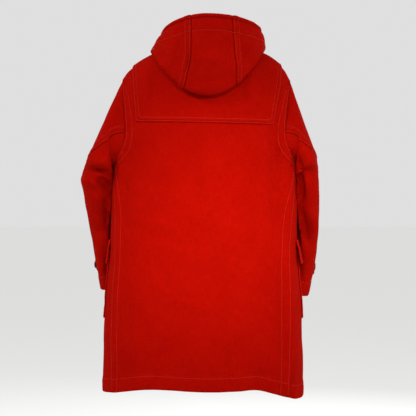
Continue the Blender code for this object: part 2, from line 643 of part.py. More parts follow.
def yoke_inside(points):
    """Whether points of the body are within the yoke's lower and side edges."""
    x, y, z = points[..., 0], points[..., 1], points[..., 2]
    lower = np.where(y > 0, YOKE_BACK_Z + YOKE_BACK_SLOPE * x, YOKE_FRONT_Z)
    heights, left, right = np.array(YOKE_SIDE).T
    return z > lower, np.abs(x) < np.where(x > 0, np.interp(z, heights, left), np.interp(z, heights, right))


def yoke_angle(place, share):
    """Angle of the yoke's columns. They run along the shoulder lines at shares of 0.2 and 0.8."""
    start, end = front_edge(place, True, -YOKE_FRONT_X), front_edge(place, False, -YOKE_FRONT_X) + 2 * np.pi
    front_left, back = start * (1 - share / 0.2), np.pi * (share - 0.2) / 0.6
    front_right = np.pi + (end - np.pi) * (share - 0.8) / 0.2
    return np.where(share < 0.2, front_left, np.where(share > 0.8, front_right, back))


def yoke_edge(share):
    """For these shares of the way round the yoke: the place of its outer edge, and whether it's a side edge."""
    places = np.linspace(6.0, NECK, 601)
    angle = yoke_angle(places, share[:, None])
    above, within = yoke_inside(body(angle, places + 0 * angle))
    both = above & within
    last = both.shape[1] - 1 - np.argmin(both[:, ::-1], axis=1)
    return places[np.minimum(last + 1, len(places) - 1)], above[np.arange(len(share)), last]


def build_yoke():
    """The shoulder yoke: one layer over the back and both fronts, round the neck."""
    fine = np.linspace(0, 1, 901)
    _, at_side = yoke_edge(fine)
    turns = fine[1:][at_side[1:] != at_side[:-1]]
    stops = np.array([0, turns[0], 0.2, turns[1], turns[2], 0.8, turns[3], 1])
    counts = (6, 6, 9, 13, 9, 6, 6)
    share = np.concatenate([np.linspace(a, b, n)[:-1] for a, b, n in zip(stops[:-1], stops[1:], counts)] + [[1.0]])
    low, _ = yoke_edge(share)
    place = low + (NECK - low) * np.linspace(0, 1, 8)[:, None] ** 1.35
    angle = yoke_angle(place, share)
    cloth("yoke", lifted(body, angle, place, YOKE_LAY + CLOTH + 0 * angle), lifted(body, angle, place, YOKE_LAY + 0 * angle))


def place_at(z):
    """Place on the body's side at this height."""
    heights = np.array([girth.left_z for girth in GIRTHS], float)
    return np.interp(z, heights, np.arange(len(GIRTHS)))


def round_from_side(place, back, width, columns, left):
    """Angles at even distances from a start behind the side of the body towards its front."""
    start = np.radians(back)
    angle = np.linspace(start, start - np.radians(110), 221) + 0 * np.asarray(place)[:, None]
    angle = angle if left else np.pi - angle
    points = body(angle, np.asarray(place)[:, None] + 0 * angle)
    along = np.cumsum(np.linalg.norm(np.diff(points, axis=1), axis=2), axis=1)
    along = np.hstack([np.zeros((len(along), 1)), along])
    wanted = np.linspace(0, width, columns)
    return np.array([np.interp(wanted, row, turn) for row, turn in zip(along, angle)])


def build_pocket(name, sizes, left):
    """A patch pocket, sewn down on three sides and open at its top."""
    place = place_at(np.linspace(POCKET_FOOT_Z, POCKET_TOP_Z, 8))
    angle = round_from_side(place, sizes.back, POCKET_WIDTH, 11, left)
    up, across = np.linspace(0, 1, 8)[:, None], np.linspace(0, 1, 11)
    lift = LAY + sizes.puff * smooth(up * 1.6) * smooth(across * 5) * smooth((1 - across) * 5)
    rows = place[:, None] + 0 * angle
    cloth(name, lifted(body, angle, rows, lift + CLOTH), lifted(body, angle, rows, lift))


def build_flap(name, sizes, left):
    """A pocket flap, sewn down along its top edge, over the pocket's mouth."""
    place = place_at(np.linspace(FLAP_FOOT_Z, FLAP_TOP_Z, 7))
    angle = round_from_side(place, sizes.flap_back, FLAP_WIDTH, 11, left)
    down = np.linspace(1, 0, 7)[:, None]
    over = LAY + sizes.puff + CLOTH + 0.7
    ends = smooth(np.linspace(1, 0, 11) * 1.6) * 0.5 + 0.5
    lift = LAY + (over - LAY) * smooth(down / 0.42) + sizes.flare * np.maximum(down - 0.3, 0) / 0.7 * ends
    rows = place[:, None] + 0 * angle
    cloth(name, lifted(body, angle, rows, lift + CLOTH), lifted(body, angle, rows, lift))


def on_sleeve(left, turn, place, lift):
    """Points at a lift above a sleeve, and the outward direction there."""
    surface = sleeve_surface(left)
    outwards = sleeve_normals(surface, turn, place, left)
    return surface(turn, place) + outwards * np.asarray(lift)[..., None], outwards


def build_strap(name, left):
    """A cuff strap, from the front seam of the sleeve to its outer side, with a rounded end."""
    turn = np.radians(np.linspace(STRAP_START, STRAP_END, 14))
    half = STRAP_HEIGHT / 2 * np.interp(turn, turn[-4:], (1, 0.94, 0.8, 0.5))
    rise = np.linspace(-1, 1, 4)[:, None] * half / 62.0
    turn, place = turn + 0 * rise, STRAP_PLACE - rise
    inner, _ = on_sleeve(left, turn, place, LAY + 0.7 + 0 * turn)
    outer, _ = on_sleeve(left, turn, place, LAY + 0.7 + CLOTH + 0 * turn)
    cloth(name, outer, inner)


def build_cuff_button(name, left):
    """The round button that holds a cuff strap."""
    turn = np.array(np.radians(BUTTON_TURN_LEFT if left else BUTTON_TURN_RIGHT))
    centre, outwards = on_sleeve(left, turn, np.array(STRAP_PLACE), np.array(LAY + CLOTH + 1.3))
    across = np.cross(outwards, (0.0, 0.0, 1.0))
    across /= np.linalg.norm(across)
    turned(name, BUTTON, centre, outwards, across, 20, DARK_HORN)


# ---------------------------------------------------------------- toggles and loops


def on_front(x, z, lift):
    """A point above the front, at this distance towards the wearer's left and about this height."""
    heights = np.array([girth.front_z for girth in GIRTHS], float)
    place = np.interp(z, heights, np.arange(len(GIRTHS)))
    x, place, lift = np.broadcast_arrays(np.asarray(x, float), place, np.asarray(lift, float))
    angle = np.where(x > 0, front_edge(place, True, -x), front_edge(place, False, x) + 0.0)
    return lifted(body, angle, place, lift)


def build_cord(name, route, z):
    """A cord of a fastening, laid along its route on the front."""
    x, up, lift = np.array(route, float).T
    cord(name, on_front(x, z + up, lift), CORD_RADIUS, 5, DARK_LEATHER)


def build_patch(name, side, legs, z):
    """A leather patch, stitched down over the ends of a cord whose two legs spread this far."""
    half = (PATCH_HALF_HEIGHT, legs + 9.0, legs + CORD_RADIUS + 0.5)
    up = np.array([-half[0], -half[1], -half[2], half[2], half[1], half[0]])[:, None]
    across = np.array(PATCH_ACROSS)
    over_cord = (np.abs(up) < legs + CORD_RADIUS + 1) & (across < 95)
    lift = np.where(over_cord, PATCH_RISE, 0.7)
    across = across + 0 * up
    up = up + 0 * across
    inner, outer = on_front(side * across, z + up, lift), on_front(side * across, z + up, lift + PATCH_THICK)
    cloth(name, outer, inner, DARK_LEATHER)


def build_fastening(number, z):
    """One toggle on its cord, the loop that holds it closed, and their two patches."""
    centre = on_front(TOGGLE_X, z, TOGGLE_LIFT)
    turned(f"toggle_{number}", TOGGLE, centre, (0.0, 0.0, 1.0), (1.0, 0.0, 0.0), 10, DARK_HORN)
    build_cord(f"toggle_cord_{number}", TOGGLE_CORD, z)
    build_cord(f"loop_{number}", LOOP_CORD, z)
    build_patch(f"toggle_patch_{number}", -1, TOGGLE_CORD[0][1], z)
    build_patch(f"loop_patch_{number}", 1, LOOP_CORD[0][1], z)


def clear_scene():
    """Removes whatever the scene holds."""
    for item in list(bpy.data.objects):
        bpy.data.objects.remove(item)


def main():
    """Builds every piece of the coat."""
    clear_scene()
    build_back()
    build_front(True)
    build_front(False)
    for side, left in (("left", True), ("right", False)):
        sleeve_piece(f"sleeve_{side}_upper", left, FRONT_SEAM, BACK_SEAM, 11, True)
        sleeve_piece(f"sleeve_{side}_under", left, BACK_SEAM, FRONT_SEAM, 9, False)
    left_seam, right_seam = np.array(HOOD_LEFT_SEAM), 180 - np.array(HOOD_RIGHT_SEAM)
    left_end, right_end = np.full(4, HOOD_END), np.full(4, 180 - HOOD_END)
    hood_piece("hood_left", left_end, left_seam, 12, False, True)
    hood_piece("hood_centre", left_seam, right_seam, 6, False, False)
    hood_piece("hood_right", right_seam, right_end, 12, True, False)
    build_yoke()
    for side, left, sizes in (("left", True, LEFT_POCKET), ("right", False, RIGHT_POCKET)):
        build_pocket(f"pocket_{side}", sizes, left)
        build_flap(f"flap_{side}", sizes, left)
        build_strap(f"cuff_strap_{side}", left)
        build_cuff_button(f"cuff_button_{side}", left)
    for number, z in enumerate(TOGGLE_Z, start=1):
        build_fastening(number, z)


main()
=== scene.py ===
"""A hooded duffle coat in thick red wool, filled out as on its wearer, dressed over its solid model.

Frame: metres, +Z up, the front faces -Y and the wearer's left is +X. The origin is on the middle line
between the shoulders, at the height where the coat bears on them. Sizes in the tables are millimetres.

The body, the sleeves and the hood are each one smooth form, worked out from an angle round it and a place
along it. A piece of cloth is a grid of points on its form. What is sewn into the piece raises or sinks that
grid: the step of a lapped seam, the groove under a row of stitches, the puckers between two rows and the
creases of use. The grid then gets a wall with a rounded edge, and the stitches are laid along the grid's own
rows and columns.
"""

from __future__ import annotations

import logging
from dataclasses import dataclass, field
from enum import Enum
from typing import Callable, Sequence

import bpy
import numpy as np
from bpy.types import Material, Node, NodeSocket, NodeTree, Object
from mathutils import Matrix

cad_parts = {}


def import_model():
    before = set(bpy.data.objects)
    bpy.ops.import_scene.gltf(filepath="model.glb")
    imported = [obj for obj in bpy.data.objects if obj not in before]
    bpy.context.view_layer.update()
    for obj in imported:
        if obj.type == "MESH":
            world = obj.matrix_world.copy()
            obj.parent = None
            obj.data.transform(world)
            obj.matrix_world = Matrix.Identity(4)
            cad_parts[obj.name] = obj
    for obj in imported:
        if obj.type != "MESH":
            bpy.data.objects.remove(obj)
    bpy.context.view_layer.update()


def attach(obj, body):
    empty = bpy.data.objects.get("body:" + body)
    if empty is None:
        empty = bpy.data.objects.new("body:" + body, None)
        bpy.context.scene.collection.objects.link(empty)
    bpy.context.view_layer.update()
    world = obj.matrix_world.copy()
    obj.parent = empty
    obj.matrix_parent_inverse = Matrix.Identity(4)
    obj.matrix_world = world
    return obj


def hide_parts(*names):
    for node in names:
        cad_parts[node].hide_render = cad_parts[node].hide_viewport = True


Array = np.ndarray
Numbers = Array | float  # one for each point, or one for them all
Line = Callable[[Array], Array]  # an angle, or a height, at each place
MM = 0.001
CLOTH = 2.5  # wall of the double-faced wool
LOG = logging.getLogger("duffle_coat")


# ---------------- numbers and curves


def smooth(x: Array) -> Array:
    """0 below 0, 1 above 1, and a smooth rise between."""
    x = np.clip(x, 0, 1)
    return x * x * (3 - 2 * x)


def bell(x: Array) -> Array:
    """1 at 0, falling smoothly to nothing a little past 2 on each side."""
    return np.exp(-(np.asarray(x, float) ** 2))


def with_ends(rows: Array) -> Array:
    """Rows with one more at each end, in line with the last two."""
    return np.concatenate([2 * rows[:1] - rows[1:2], rows, 2 * rows[-1:] - rows[-2:-1]])


def cubic(rows: Sequence[Array], t: Array) -> Array:
    """Catmull-Rom curve through four rows, read between the middle two at a share t of the way."""
    a, b, c, d = rows
    return 0.5 * (2 * b + (c - a) * t + (2 * a - 5 * b + 4 * c - d) * t**2 + (3 * b - a - 3 * c + d) * t**3)


def through(table: Sequence, place: Array) -> Array:
    """A table's rows joined by one smooth Catmull-Rom curve.

    Args:
        table: rows of numbers.
        place: 0 for the first row, 1 for the second, and parts of them between.

    Returns:
        The row at each place, in a last axis.
    """
    table = np.asarray(table, float)
    place = np.clip(np.asarray(place, float), 0, len(table) - 1)
    low = np.minimum(place.astype(int), len(table) - 2)
    padded = with_ends(table)
    return cubic([padded[low + step] for step in range(4)], (place - low)[..., None])


def matched(*arrays: Array) -> list[Array]:
    """Numbers as arrays of one shape."""
    return np.broadcast_arrays(*(np.asarray(array, float) for array in arrays))


def in_degrees(angle: Array) -> Array:
    """Angles in degrees, from -180 to 180."""
    return np.degrees(np.angle(np.exp(1j * angle)))


def read_along(wanted: Array, run: Array, points: Array) -> Array:
    """Points, or directions, read at distances along a line of them. run holds the line's own distances."""
    return np.stack([np.interp(wanted, run, column) for column in points.T], axis=-1)


def between(low: Array, high: Array, count: float) -> Array:
    """Even steps from one column of numbers to another, at least 3 of them, without the two columns."""
    return low + (high - low) * np.linspace(0, 1, max(int(count), 3) + 1)[1:-1]


def even_steps(low: float, high: float, pitch: float) -> Array:
    """Distances between two others at even steps of about the pitch."""
    return np.linspace(low, high, max(int((high - low) / pitch), 2) + 1)[1:-1]


def rows_of(kind: type, *rows: tuple) -> tuple:
    """A table's rows, each made into one of a kind."""
    return tuple(kind(*row) for row in rows)


def unit(vectors: Array) -> Array:
    """Vectors in the last axis, each made one long."""
    return vectors / np.maximum(np.linalg.norm(vectors, axis=-1, keepdims=True), 1e-9)


def look_up(wanted: Array, known: Array, values: Array) -> Array:
    """Straight-line look-up in each row of a table at once.

    Args:
        wanted: where to read each row, one set of numbers to a row.
        known: rising positions, row by row.
        values: what each row holds at those positions.

    Returns:
        The values at the wanted positions, in the shape of wanted.
    """
    return np.array([np.interp(w, k, v) for w, k, v in zip(wanted, known, values)])


def run_length(points: Array, axis: int) -> Array:
    """Length walked along a grid of points from its first row or column, in the grid's own shape."""
    steps = np.linalg.norm(np.diff(points, axis=axis), axis=-1)
    start = np.zeros_like(np.take(steps, [0], axis=axis))
    return np.cumsum(np.concatenate([start, steps], axis=axis), axis=axis)


def ripple(u: Array, v: Array, length: float, seed: int, waves: int = 9) -> Array:
    """Soft unevenness over two coordinates: sine waves of random heading and phase, added up.

    Args:
        u: distance across, in millimetres.
        v: distance along, in millimetres.
        length: typical length of a wave, in millimetres.
        seed: picks the headings and phases, the same on every run.
        waves: how many waves are added.

    Returns:
        Heights of about -1 to 1.
    """
    dice = np.random.default_rng(seed)
    heading = dice.uniform(0, 2 * np.pi, waves)
    size = length * dice.uniform(0.65, 1.6, waves)
    phase = dice.uniform(0, 2 * np.pi, waves)
    along = np.asarray(u)[..., None] * np.cos(heading) + np.asarray(v)[..., None] * np.sin(heading)
    return np.sin(2 * np.pi * along / size + phase).sum(axis=-1) / np.sqrt(waves) / 1.4


# ---------------- forms


class Side(Enum):
    """A side of the coat as its wearer has it. The value is the sign of X there."""

    LEFT = 1
    RIGHT = -1

    @property
    def word(self) -> str:
        """The side's name in a piece's name."""
        return self.name.lower()


class Form:
    """A smooth face worked out from an angle round it and a place along it."""

    sign: float = 1.0  # turns the face's directions outwards
    worn: tuple[Crease, ...] = ()  # soft troughs and ridges, each placed one by one
    uneven: float = 0.9  # how far thick cloth rises and sinks of itself, in millimetres
    swells: tuple = ((1.0, 120.0, 3), (0.35, 46.0, 8))  # share, length and seed of the two sizes of that

    def point(self, angle: Array, place: Array) -> Array:
        """Points of the face, in millimetres."""
        raise NotImplementedError

    def normal(self, angle: Array, place: Array) -> Array:
        """Outward directions: the cross product of the steps round the form and along it."""
        across = self.point(angle + 2e-3, place) - self.point(angle - 2e-3, place)
        along = self.point(angle, place + 4e-3) - self.point(angle, place - 4e-3)
        return unit(np.cross(across, along)) * self.sign

    def wear(self, points: Array, normals: Array) -> Array:
        """How far the cloth stands off its form: the creases, and a slight unevenness of two sizes."""
        across, along = points[..., 0] + 1.2 * points[..., 1], points[..., 2] + 0.3 * points[..., 1]
        swells = (share * ripple(across, along, length, seed) for share, length, seed in self.swells)
        height = self.uneven * sum(swells)
        for crease in self.worn:
            height = height + crease.height(points, normals)
        return height

    def worn_at(self, angle: Array, place: Array, lift: Numbers = 0.0) -> tuple[Array, Array]:
        """Points of the worn face, lifted by a height, and the outward directions there."""
        points, normals = self.point(angle, place), self.normal(angle, place)
        return points + normals * (self.wear(points, normals) + lift)[..., None], normals


def oval(columns: Sequence[Array], angle: Array) -> Array:
    """Points of a ring: an ellipse with its own half size on each of four sides and with filled-out corners.

    Args:
        columns: left, right, back and front half sizes, the heights there, and square, which fills out the
            corners.
        angle: 0 is the wearer's left, 90 degrees the centre back and -90 the centre front.

    Returns:
        Points, with x = half size * cos * (1 + square * sin^2), y in the same way, and a height that passes
        from the side's to the back's or front's as sin^2 grows.
    """
    left, right, back, front, left_z, right_z, back_z, front_z, square = columns
    cos, sin = np.cos(angle), np.sin(angle)
    x = np.where(cos > 0, left, right) * cos * (1 + square * sin**2)
    y = np.where(sin > 0, back, front) * sin * (1 + square * cos**2)
    side_z = np.where(cos > 0, left_z, right_z)
    end_z = np.where(sin > 0, back_z, front_z)
    return np.stack([x, y, side_z + (end_z - side_z) * sin**2], axis=-1)


@dataclass(frozen=True)
class HangingFold:
    """A soft fold that hangs in the body, round an angle in degrees, and deepens from its top to the hem."""

    angle: float
    width: float
    top: float
    depth: float

    def height(self, off: Array, place: Array) -> Array:
        """How far it moves the cloth: a bell across it, off degrees from its middle, growing to the hem."""
        return self.depth * smooth((self.top - place) / self.top) * bell(off / self.width)


# Columns of a ring of the body: half sizes, heights, how far the corners are filled out, and the side seams
LEFT_HALF, RIGHT_HALF, BACK_HALF, FRONT_HALF = range(4)
LEFT_Z, RIGHT_Z, BACK_Z, FRONT_Z = range(4, 8)
SQUARE, LEFT_SEAM, RIGHT_SEAM = range(8, 11)


@dataclass(frozen=True)
class BodyForm(Form):
    """The body of the coat, from the hem up to the neckline.

    Each row of girths is a ring: left, right, back and front half sizes, their heights, square, and the left
    and right side seams in degrees from each side towards the back. armhole_back and armhole_front are half
    the armhole's width, in degrees.
    """

    underarm: int = 5
    armhole_top: int = 8
    neck: int = 11
    armhole_back: float = 32.0
    armhole_front: float = 36.0
    girths: tuple = (
        (291, 269, 118, 132, -941, -958, -924, -944, 0.10, 27, 38),
        (290, 268, 116, 131, -816, -820, -806, -816, 0.11, 26, 36),
        (284, 263, 114, 130, -690, -690, -684, -690, 0.12, 24, 34),
        (272, 253, 112, 128, -560, -560, -557, -560, 0.12, 22, 30),
        (268, 252, 111, 125, -430, -430, -430, -430, 0.12, 19, 25),
        (264, 251, 112, 123, -310, -306, -312, -312, 0.12, 8, 10),
        (265, 255, 114, 121, -238, -236, -258, -262, 0.12, 4, 5),
        (258, 250, 114, 117, -158, -158, -203, -215, 0.11, 2, 2),
        (236, 232, 110, 110, -74, -77, -144, -163, 0.09, 0, 0),
        (204, 206, 102, 101, -36, -34, -92, -128, 0.07, 0, 0),
        (150, 152, 88, 88, -6, 0, -42, -98, 0.04, 0, 0),
        (80, 80, 68, 73, 20, 20, 6, -68, 0.00, 0, 0),
    )
    folds: tuple[HangingFold, ...] = rows_of(
        HangingFold,
        (52, 13, 4.5, 6),
        (72, 10, 3.0, -5),
        (101, 12, 3.6, 5),
        (124, 9, 6.4, -6),
        (146, 9, 5.2, 7),
        (-38, 14, 4.2, 6),
        (-60, 10, 3.4, -5),
        (-122, 11, 3.6, -5),
        (-143, 13, 4.4, 6),
    )
    waves: tuple[HangingFold, ...] = rows_of(  # how far the hem rises and dips
        HangingFold,
        (57, 14, 1.6, 5.6),
        (90, 14, 1.6, -4.0),
        (118, 11, 1.6, 7.0),
        (148, 11, 1.4, -4.5),
        (178, 10, 1.2, 9.0),
    )
    worn: tuple[Crease, ...] = ()

    def point(self, angle: Array, place: Array) -> Array:
        """Points of the body: rings joined by a smooth curve, moved out by the folds and up by the waves."""
        angle, place = matched(angle, place)
        points = oval(np.moveaxis(through(self.girths, place), -1, 0)[: SQUARE + 1], angle)
        degrees = in_degrees(angle)
        out = sum(fold.height(degrees - fold.angle, place) for fold in self.folds)
        points[..., 0] += out * np.cos(angle)
        points[..., 1] += out * np.sin(angle)
        for wave in self.waves:
            points[..., 2] += wave.height(in_degrees(np.radians(degrees - wave.angle)), place)
        return points

    @property
    def hole(self) -> tuple[float, float]:
        """Place of the armhole's middle, and half its height in places."""
        return (self.underarm + self.armhole_top) / 2, (self.armhole_top - self.underarm) / 2

    def armhole_reach(self, place: Array) -> Array:
        """How far the armhole spreads at a place, as a share of its widest, along a half circle."""
        middle, reach = self.hole
        return np.sqrt(np.clip(1 - ((place - middle) / reach) ** 2, 0, 1))

    def side_seam(self, place: Array, side: Side) -> Array:
        """Angle of a side seam, and of the line through the middle of the armhole above it."""
        turn = np.radians(through(self.girths, place)[..., LEFT_SEAM if side is Side.LEFT else RIGHT_SEAM])
        return turn if side is Side.LEFT else np.pi - turn

    def side_edge(self, place: Array, side: Side, to_back: bool) -> Array:
        """Angle of a panel's edge at the side: the seam, the armhole or the shoulder line."""
        reach = np.radians(self.armhole_back if to_back else -self.armhole_front) * self.armhole_reach(place)
        return self.side_seam(place, side) + side.value * reach

    def front_edge(self, place: Array, side: Side, distance: Array) -> Array:
        """Angle on the front at a distance past the centre line, on its far side if that is positive."""
        half = through(self.girths, place)[..., RIGHT_HALF if side is Side.LEFT else LEFT_HALF]
        return -np.pi / 2 - side.value * np.arcsin(np.clip(distance / half, -1, 1))

    def place_at(self, z: Array, column: int = LEFT_Z) -> Array:
        """Place along the body at a height, read in one of the columns of heights."""
        return np.interp(z, [girth[column] for girth in self.girths], np.arange(len(self.girths)))

    def half_width(self, y: Array, z: Array, side: Side) -> Array:
        """How far to the side the body reaches at a depth and height, found by stepping to that height."""
        at_left = side is Side.LEFT
        place = self.place_at(z)
        turn = np.zeros_like(place)
        for _ in range(6):
            columns = np.moveaxis(through(self.girths, place), -1, 0)
            half_x, square = columns[LEFT_HALF if at_left else RIGHT_HALF], columns[SQUARE]
            half_y = np.where(y > 0, columns[BACK_HALF], columns[FRONT_HALF])
            turn = np.arcsin(np.clip(y / (half_y * (1 + square * np.cos(turn) ** 2)), -1, 1))
            side_z = columns[LEFT_Z if at_left else RIGHT_Z]
            end_z = np.where(y > 0, columns[BACK_Z], columns[FRONT_Z])
            found = side_z + (end_z - side_z) * np.sin(turn) ** 2
            place = np.clip(place + (z - found) / 100.0, 0, self.armhole_top)
        return half_x * np.cos(turn) * (1 + square * np.sin(turn) ** 2)

    def armhole(self, turn: Array, side: Side) -> tuple[Array, Array]:
        """Angle and place of the armhole's edge at turns round the sleeve: 0 on top, 90 degrees behind."""
        middle, reach = self.hole
        place = middle + reach * np.cos(turn)
        spread = np.radians(np.where(np.sin(turn) > 0, self.armhole_back, self.armhole_front)) * np.sin(turn)
        return self.side_seam(place, side) + side.value * spread, place


@dataclass(frozen=True)
class SleeveCrease:
    """A large crease across a sleeve, as deep as the elbow's bend makes it. A positive depth stands out."""

    place: float
    angle: float
    half_turn: float
    slope: float
    width: float
    depth: float

    def height(self, degrees: Array, place: Array) -> Array:
        """Its height: a bell along the sleeve, about a sloping line that fades out round half_turn."""
        off = in_degrees(np.radians(degrees - self.angle))
        reach = smooth(1.25 - np.abs(off) / self.half_turn)
        return self.depth * reach * bell((place - self.place - self.slope * off / 60.0) / self.width)


@dataclass(frozen=True)
class SleeveForm(Form):
    """A sleeve from the armhole to the wrist.

    Each row of cuffs is a ring: x and z of its outer point, x and z of its inner point, y, half its depth,
    and the forward lean of its plane in degrees. rest holds (height, distance kept from the body) pairs.
    """

    body: BodyForm
    side: Side
    cuffs: tuple
    creases: tuple[SleeveCrease, ...]
    rest: tuple
    worn: tuple[Crease, ...] = ()
    centre_x: float = 240.0

    @property
    def wrist(self) -> int:
        """Place of the last ring."""
        return len(self.cuffs)

    @property
    def sign(self) -> float:
        """A sleeve's places run down and its angles backwards, so the left one's directions are turned."""
        return -float(self.side.value)

    def _ring(self, number: int, turn: Array) -> Array:
        """Points of one ring. Ring 0 is the armhole's edge, the rest are ovals between two given points."""
        if number == 0:
            return self.body.point(*self.body.armhole(turn, self.side))
        out_x, out_z, in_x, in_z, y, half_depth, pitch = self.cuffs[number - 1]
        cos, sin = np.cos(turn), np.sin(turn)
        along = cos * (1 + 0.10 * sin**2) / 2
        deep = half_depth * sin * (1 + 0.10 * cos**2)
        x = (out_x + in_x) / 2 + (out_x - in_x) * along
        z = (out_z + in_z) / 2 + (out_z - in_z) * along - deep * np.sin(np.radians(pitch))
        return np.stack([self.side.value * x, y + deep * np.cos(np.radians(pitch)), z], axis=-1)

    def point(self, angle: Array, place: Array) -> Array:
        """Points of the sleeve: rings joined by a smooth curve, creased, and kept clear of the body."""
        turn, place = matched(angle, place)
        wrist, side = self.wrist, self.side.value
        low = np.clip(place.astype(int), 0, wrist - 1)
        padded = with_ends(np.array([self._ring(number, turn) for number in range(wrist + 1)]))
        four = [np.take_along_axis(padded, (low + step)[None, ..., None], axis=0)[0] for step in range(4)]
        points = cubic(four, (place - low)[..., None])
        outer_x, _, inner_x, _, y, *_ = np.asarray(self.cuffs, float).T
        middle_x = np.interp(place, np.arange(wrist + 1), np.r_[self.centre_x, (outer_x + inner_x) / 2])
        middle_y = np.interp(place, np.arange(wrist + 1), np.r_[0, y])
        away = np.stack([points[..., 0] - side * middle_x, points[..., 1] - middle_y, 0 * middle_x], axis=-1)
        out = sum(crease.height(in_degrees(turn), place) for crease in self.creases)
        points = points + unit(away) * out[..., None]
        heights, kept = np.array(self.rest).T
        clear = np.interp(points[..., 2], heights, kept) * smooth(place / 0.5)
        limit = self.body.half_width(points[..., 1], points[..., 2], self.side) + clear
        reach, soft = side * points[..., 0], 2.2 * smooth(place / 0.8)
        points[..., 0] = side * (reach + limit + np.sqrt((reach - limit) ** 2 + soft**2)) / 2
        return points

    def normal(self, angle: Array, place: Array) -> Array:
        """Outward directions. At the armhole they turn from the body's, on top, to straight down below."""
        angle, place = matched(angle, place)
        found = super().normal(angle, np.clip(place, 0.01, self.wrist - 0.01))
        round_hole = self.body.armhole(angle, self.side)
        hole = self.body.armhole(np.linspace(0, 2 * np.pi, 16, endpoint=False), self.side)
        away = unit(self.body.point(*round_hole) - self.body.point(*hole).mean(axis=0))
        top = (1 + np.cos(angle))[..., None] / 2
        edge = unit(self.body.normal(*round_hole) * top + away * (1 - top))
        near = 1 - smooth(place / 0.12)[..., None]
        return unit(found * (1 - near) + edge * near)


@dataclass(frozen=True)
class HoodForm(Form):
    """The hood, lying down the back: from the neck seam over the roll, down, round the fold, up to the rim.

    Each row of rings holds the left, right, back and front half sizes, a shift to the back, the heights at
    those four places, and square.
    """

    body: BodyForm
    rings: tuple = (
        (80, 80, 68, 73, 0, 18.5, 18.5, 4.5, -70.5, 0.00),
        (83, 83, 73, 77, 0, 36, 36, 26, -56, 0.00),
        (92, 92, 87, 86, 2, 46, 46, 42, -50, 0.02),
        (110, 112, 99, 94, 6, 38, 38, 16, -54, 0.04),
        (128, 131, 104, 98, 8, 23, 22, -50, -66, 0.07),
        (145, 152, 112, 103, 10, 7, 10, -122, -78, 0.10),
        (157, 163, 134, 114, 10, 5, 13, -120, -91, 0.10),
        (148, 161, 153, 126, 10, 22, 29, -62, -101, 0.10),
        (136, 156, 158, 130, 9, 40, 48, 14, -104, 0.09),
        (122, 146, 146, 131, 7, 56, 66, 87, -107, 0.08),
    )
    yoke_rise: float = 3.0  # the neck seam lies on the yoke
    worn: tuple[Crease, ...] = ()

    def point(self, angle: Array, place: Array) -> Array:
        """Points of the hood: ovals joined by a smooth curve, the first on the yoke's edge at the neck."""
        angle, place = matched(angle, place)
        left, right, back, front, shift, *rest = np.moveaxis(through(self.rings, place), -1, 0)
        points = oval([left, right, back, front, *rest], angle)
        points[..., 1] += shift
        foot = 1 - smooth(place / 0.45)
        skin = self.body.normal(angle, np.full_like(angle, self.body.neck - 0.01))
        on_yoke = np.minimum(smooth((np.abs(points[..., 0]) - 42) / 18) + (points[..., 1] > 0), 1)
        return points + skin * (self.yoke_rise * on_yoke * foot)[..., None]


# ---------------- edges, seams and creases of a piece of cloth


def share_at(table: Sequence[tuple[float, float]], place: Array) -> Array:
    """Reads a table of (place, share) pairs."""
    at, share = np.array(table).T
    return np.interp(place, at, share)


Shares = tuple[tuple[float, float], ...]  # pairs of a place and a share, or of two places
ROUNDING = (0.0, 0.7, 1.5)  # grid lines at these distances from an edge, across its rounding
ACROSS_ROW = (-1.7, -0.85, 0.0, 0.85, 1.7)  # and from a row of stitches, across its groove
DOWN_STEP = (2.8, 4.2, 6.5)  # and past the last row, down the step


